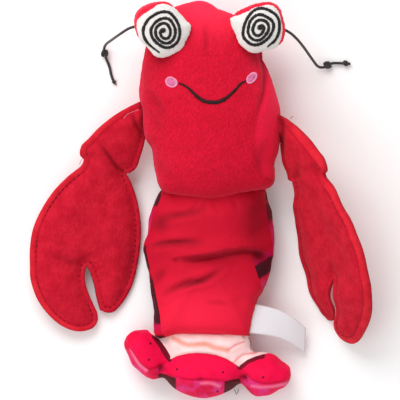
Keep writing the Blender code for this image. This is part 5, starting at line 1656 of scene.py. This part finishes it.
half_long = maths(running, "MULTIPLY", maths(running, "MULTIPLY", given["Stitch Length"], 0.5), vary)
size = node(running, "ShaderNodeCombineXYZ", X=half_long, Y=given["Thread Radius"], Z=given["Thread Radius"])
thread = node(running, "GeometryNodeMeshUVSphere", Segments=8, Rings=6, Radius=1.0).outputs[0]
laid = node(running, "GeometryNodeInstanceOnPoints", Points=rows, Instance=thread, Rotation=turn,
            Scale=size.outputs[0]).outputs[0]
laid = node(running, "GeometryNodeRealizeInstances", i0=laid).outputs[0]
laid = node(running, "GeometryNodeSetShadeSmooth", i0=laid).outputs[0]
running.links.new(node(running, "GeometryNodeSetMaterial", i0=laid, Material=given["Finish"]).outputs[0], result)
print("tree made:", running.name, "with", len(running.nodes), "nodes")

# %% [markdown]
# ## Sewing the claws
# The stitch line is the pattern's edge moved inwards. Where the edge turns back on itself, as at the end
# of the slit, some moved points would fall too near the edge, so they are left out. Both faces of the
# felt get the stitches, since a running stitch shows on both.
# %% Topstitch the claws
# The left claw's thread is dark red, and darkened further with painted shade, as its stitches sit in the shaded
# channel.
dark_red_and_shaded_thread = thread_material("dark_red_sewing_thread_with_painted_shade", rgb(98, 0, 18), rgb(126, 6, 28), 0.7, 0.0, 0.2)
red_thread = thread_material("red_sewing_thread", rgb(146, 10, 32), rgb(172, 18, 42), 0.7, 0.0, 0.2)


def stitch_line(arm):
    """The pattern's edge moved inwards, without the places where the edge turns back on itself."""
    dense = even_line(sewn_edge, 0.6)
    last = len(dense) - 1
    found = []
    for k in range(1, last):
        heading = dense[k + 1] - dense[k - 1]
        inset = arm.inset(k / last)
        found.append((dense[k] + Vector((heading.y, -heading.x, 0.0)).normalized() * inset, inset, k / last))
    spots = np.array([tuple(p) for p, _, _ in found])
    gap, _, _ = to_line(spots, sewn_edge)
    inside = outline_depth(spots, pattern) > 0
    return [item for item, g, i in zip(found, gap, inside) if i and g > item[1] * 0.95]


for side, arm, felt_thread in (("left", left_arm, dark_red_and_shaded_thread), ("right", right_arm, red_thread)):
    sewing_line = stitch_line(arm)
    for face, sign in (("front", 1), ("back", -1)):
        rise = sign * (PINCHED_HALF + THREAD_LIFT)
        line = even_line([arm.spot(p.x, p.y, rise, inset, share) for p, inset, share in sewing_line], 0.8)
        piece = line_piece(f"claw_{side}_topstitch_{face}", line, ups=[arm.normal] * len(line))
        run_tree(piece, running, {"Seed": 2 + sign, "Finish": felt_thread, "Pitch": STITCH_PITCH * MM,
                                  "Stitch Length": TOPSTITCH_LENGTH * MM,
                                  "Thread Radius": TOPSTITCH_RADIUS * MM})
        declare(piece)
        print(f"{piece.name}: {line_length(line):.0f} mm, {len(piece.data.polygons)} faces")

# %% [markdown]
# ## The label
# A strip of white satin is folded in half and its two ends are sewn into the side seam. It stands out
# from the seam and curls down to the floor. It is cut straight, so the strip is built between its two
# long edges, out along the upper layer and back along the lower one. It carries nothing.
# %% Folded label
TOP_EDGE = ((252, 303.5, 13.8), (266, 306.5, 13.6), (280, 310.5, 12.4), (293.5, 317.5, 10.2), (305.5, 328, 6.6))
LOW_EDGE = ((246, 332.5, 13.4), (260, 334.5, 12.6), (275, 337, 10.6), (290, 343, 7.6), (304, 352.5, 3.6))
LABEL_GAP = 0.34
LABEL_THICKNESS = 0.26
LABEL_COLUMNS = 14


def label_strip():
    top = even_line(smooth_line([at(*p) for p in TOP_EDGE], 0.5), 1.0)
    low = even_line(smooth_line([at(*p) for p in LOW_EDGE], 0.5), 1.0)
    count = min(len(top), len(low))
    top, low = [even_line(edge, line_length(edge) / (count - 1))[:count] for edge in (top, low)]
    rows = []

    def row_between(a, b, shift):
        return [a.lerp(b, j / LABEL_COLUMNS) + shift for j in range(LABEL_COLUMNS + 1)]

    for layer in (1, -1):
        order = range(count) if layer > 0 else range(count - 1, -1, -1)
        for k in order:
            along = top[min(k + 1, count - 1)] - top[max(k - 1, 0)]
            normal = along.cross(low[k] - top[k]).normalized()
            normal = normal if normal.z > 0 else -normal
            swell = LABEL_GAP * (0.5 + 0.9 * math.sin(math.pi * k / (count - 1)))
            rows.append(row_between(top[k], low[k], normal * layer * swell))
        if layer > 0:
            out = (top[-1] - top[-2]).normalized()
            rows.append(row_between(top[-1], low[-1], out * 0.5))
    points = [p for row in rows for p in row]
    size = LABEL_COLUMNS + 1
    faces = [(r * size + j, r * size + j + 1, (r + 1) * size + j + 1, (r + 1) * size + j)
             for r in range(len(rows) - 1) for j in range(LABEL_COLUMNS)]
    middle = [row[LABEL_COLUMNS // 2] for row in rows]
    return new_piece("side_label", points, faces), line_length(middle), (top[0] - low[0]).length


side_label, label_length, label_width = label_strip()
wall = side_label.modifiers.new("cloth thickness", "SOLIDIFY")
wall.thickness = LABEL_THICKNESS * MM
wall.offset = 0.0
bake(side_label)
woven, tree, shader = new_material("woven_white_satin", 0.42, sheen=0.15, sheen_roughness=0.3)
place = node(tree, "ShaderNodeTexCoord").outputs["Object"]
weft = node(tree, "ShaderNodeTexWave", {"bands_direction": "X"}, Vector=place, Scale=620.0, Distortion=0.3)
warp = node(tree, "ShaderNodeTexWave", {"bands_direction": "Y"}, Vector=place, Scale=900.0, Distortion=0.3)
weave = maths(tree, "ADD", maths(tree, "MULTIPLY", weft.outputs[1], 0.5),
              maths(tree, "MULTIPLY", warp.outputs[1], 0.5))
dress(tree, shader, blend_colour(tree, weave, rgb(222, 220, 224), rgb(238, 236, 240)), weave, 0.06)
side_label.data.materials.append(woven)
declare(side_label, "label")
print(f"label: a strip of {label_width:.1f} x {label_length:.1f} mm, folded once")

# %% [markdown]
# ## Loose threads
# Hand-finished toys keep a few cut thread ends: at the seam beside the label, at the pinched corners of
# the tail, and where the topstitching starts and stops. Each is one thin tube, laid on whatever lies
# below it. They are small, but the eye reads them as a sign that the toy was sewn.
# %% Loose thread ends
LOOSE_THREAD_RADIUS = 0.17
pale_thread = thread_material("pale_red_thread", rgb(226, 96, 112), rgb(244, 132, 142), 0.6)
THREADS = (
    ("wrist_thread", left_claw, pale_thread, ((82.6, 158.2), (80.8, 160.6), (79.2, 164.4)), 12.0),
    ("dart_thread", left_claw, pale_thread, ((124, 118.5), (127, 114.8), (133, 111.8), (139, 110)), None),
    ("shoulder_thread", right_claw, red_thread, ((290.2, 118.6), (291.6, 117.2), (293, 116.4)), None),
    ("label_thread_upper", belly, brown_thread, ((247, 333.6), (249.4, 333.2), (250.4, 331.6)), 12.5),
    ("label_thread_lower", belly, brown_thread, ((246.5, 335), (248.6, 335.6), (250, 334.8)), 12.0),
    ("root_thread", tail, brown_thread,
     ((248.6, 338), (250.3, 341), (251, 344), (250.4, 347), (251.4, 350)), None),
    ("corner_thread_long", tail, brown_thread, ((234.6, 390), (235.6, 392.4), (236.8, 395.4)), 5.0),
    ("corner_thread_short", tail, brown_thread, ((238.4, 389.6), (238.2, 392), (237.2, 394.2)), 5.0),
)


def thread_end(name, cloth, finish, pixels, height):
    """A thread over pixels of the photograph, at a height or just above the cloth below it."""
    mesh = cloth.data
    tree = BVHTree.FromPolygons([v.co for v in mesh.vertices], [p.vertices for p in mesh.polygons])
    line = []
    for px, py in pixels:
        hit = tree.ray_cast(at(px, py, 60.0) * MM, Vector((0, 0, -1)))[0]
        hit = hit or tree.find_nearest(at(px, py, 15.0) * MM)[0]
        line.append(at(px, py, hit.z / MM + 0.15 if height is None else height))
    piece = tube(name, smooth_line(line, 0.3), LOOSE_THREAD_RADIUS, finish, 6)
    declare(piece)


for row in THREADS:
    thread_end(*row)
print(len(THREADS), "thread ends laid")

# %% [markdown]
# ## Floor and light
# The toy lies on a plain white table. One soft light hangs beyond the head and a wider, weaker one at the
# lower left. The pale surroundings fill what is left of the shadows, as in a light tent.
# %% Floor, lights and surroundings
FLOOR_HALF = 9000.0
floor_corners = [(x * FLOOR_HALF, y * FLOOR_HALF, 0.0) for x, y in ((-1, -1), (1, -1), (1, 1), (-1, 1))]
floor = new_piece("floor", floor_corners, [(0, 1, 2, 3)])
paper, tree, shader = new_material("white_paper", 0.9, specular=0.2)
shader.inputs["Base Color"].default_value = (0.96, 0.96, 0.96, 1.0)
floor.data.materials.append(paper)
floor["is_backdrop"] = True


def soft_light(name, place, size, power):
    lamp = bpy.data.lights.new(name, "AREA")
    lamp.shape = "DISK"
    lamp.size = size
    lamp.energy = power
    made = bpy.data.objects.new(name, lamp)
    made.location = place
    made.rotation_euler = (-Vector(place)).to_track_quat("-Z", "Y").to_euler()
    bpy.context.scene.collection.objects.link(made)


soft_light("key", (-0.25, 0.62, 0.66), 0.7, 5.8)
soft_light("fill", (-0.55, -0.45, 0.75), 1.2, 3.4)
world = bpy.data.worlds.new("light tent")
world.use_nodes = True
surroundings = world.node_tree.nodes["Background"]
surroundings.inputs["Color"].default_value = (1.0, 1.0, 1.0, 1.0)
surroundings.inputs["Strength"].default_value = 0.64
bpy.context.scene.world = world
bpy.context.scene.view_settings.view_transform = "Standard"
print("light tent strength", round(surroundings.inputs["Strength"].default_value, 2))

# %% [markdown]
# ## Last measurements
# The size of the dressed toy is printed beside that of the imported model. The dressed
# toy must keep the size of the imported model.
# %% Sizes and finish
dressed_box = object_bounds()
for axis, letter in enumerate("XYZ"):
    before = (cad_box[1][axis] - cad_box[0][axis]) / MM
    after = (dressed_box[1][axis] - dressed_box[0][axis]) / MM
    print(f"{letter}: {before:.1f} mm packed, {after:.1f} mm dressed")
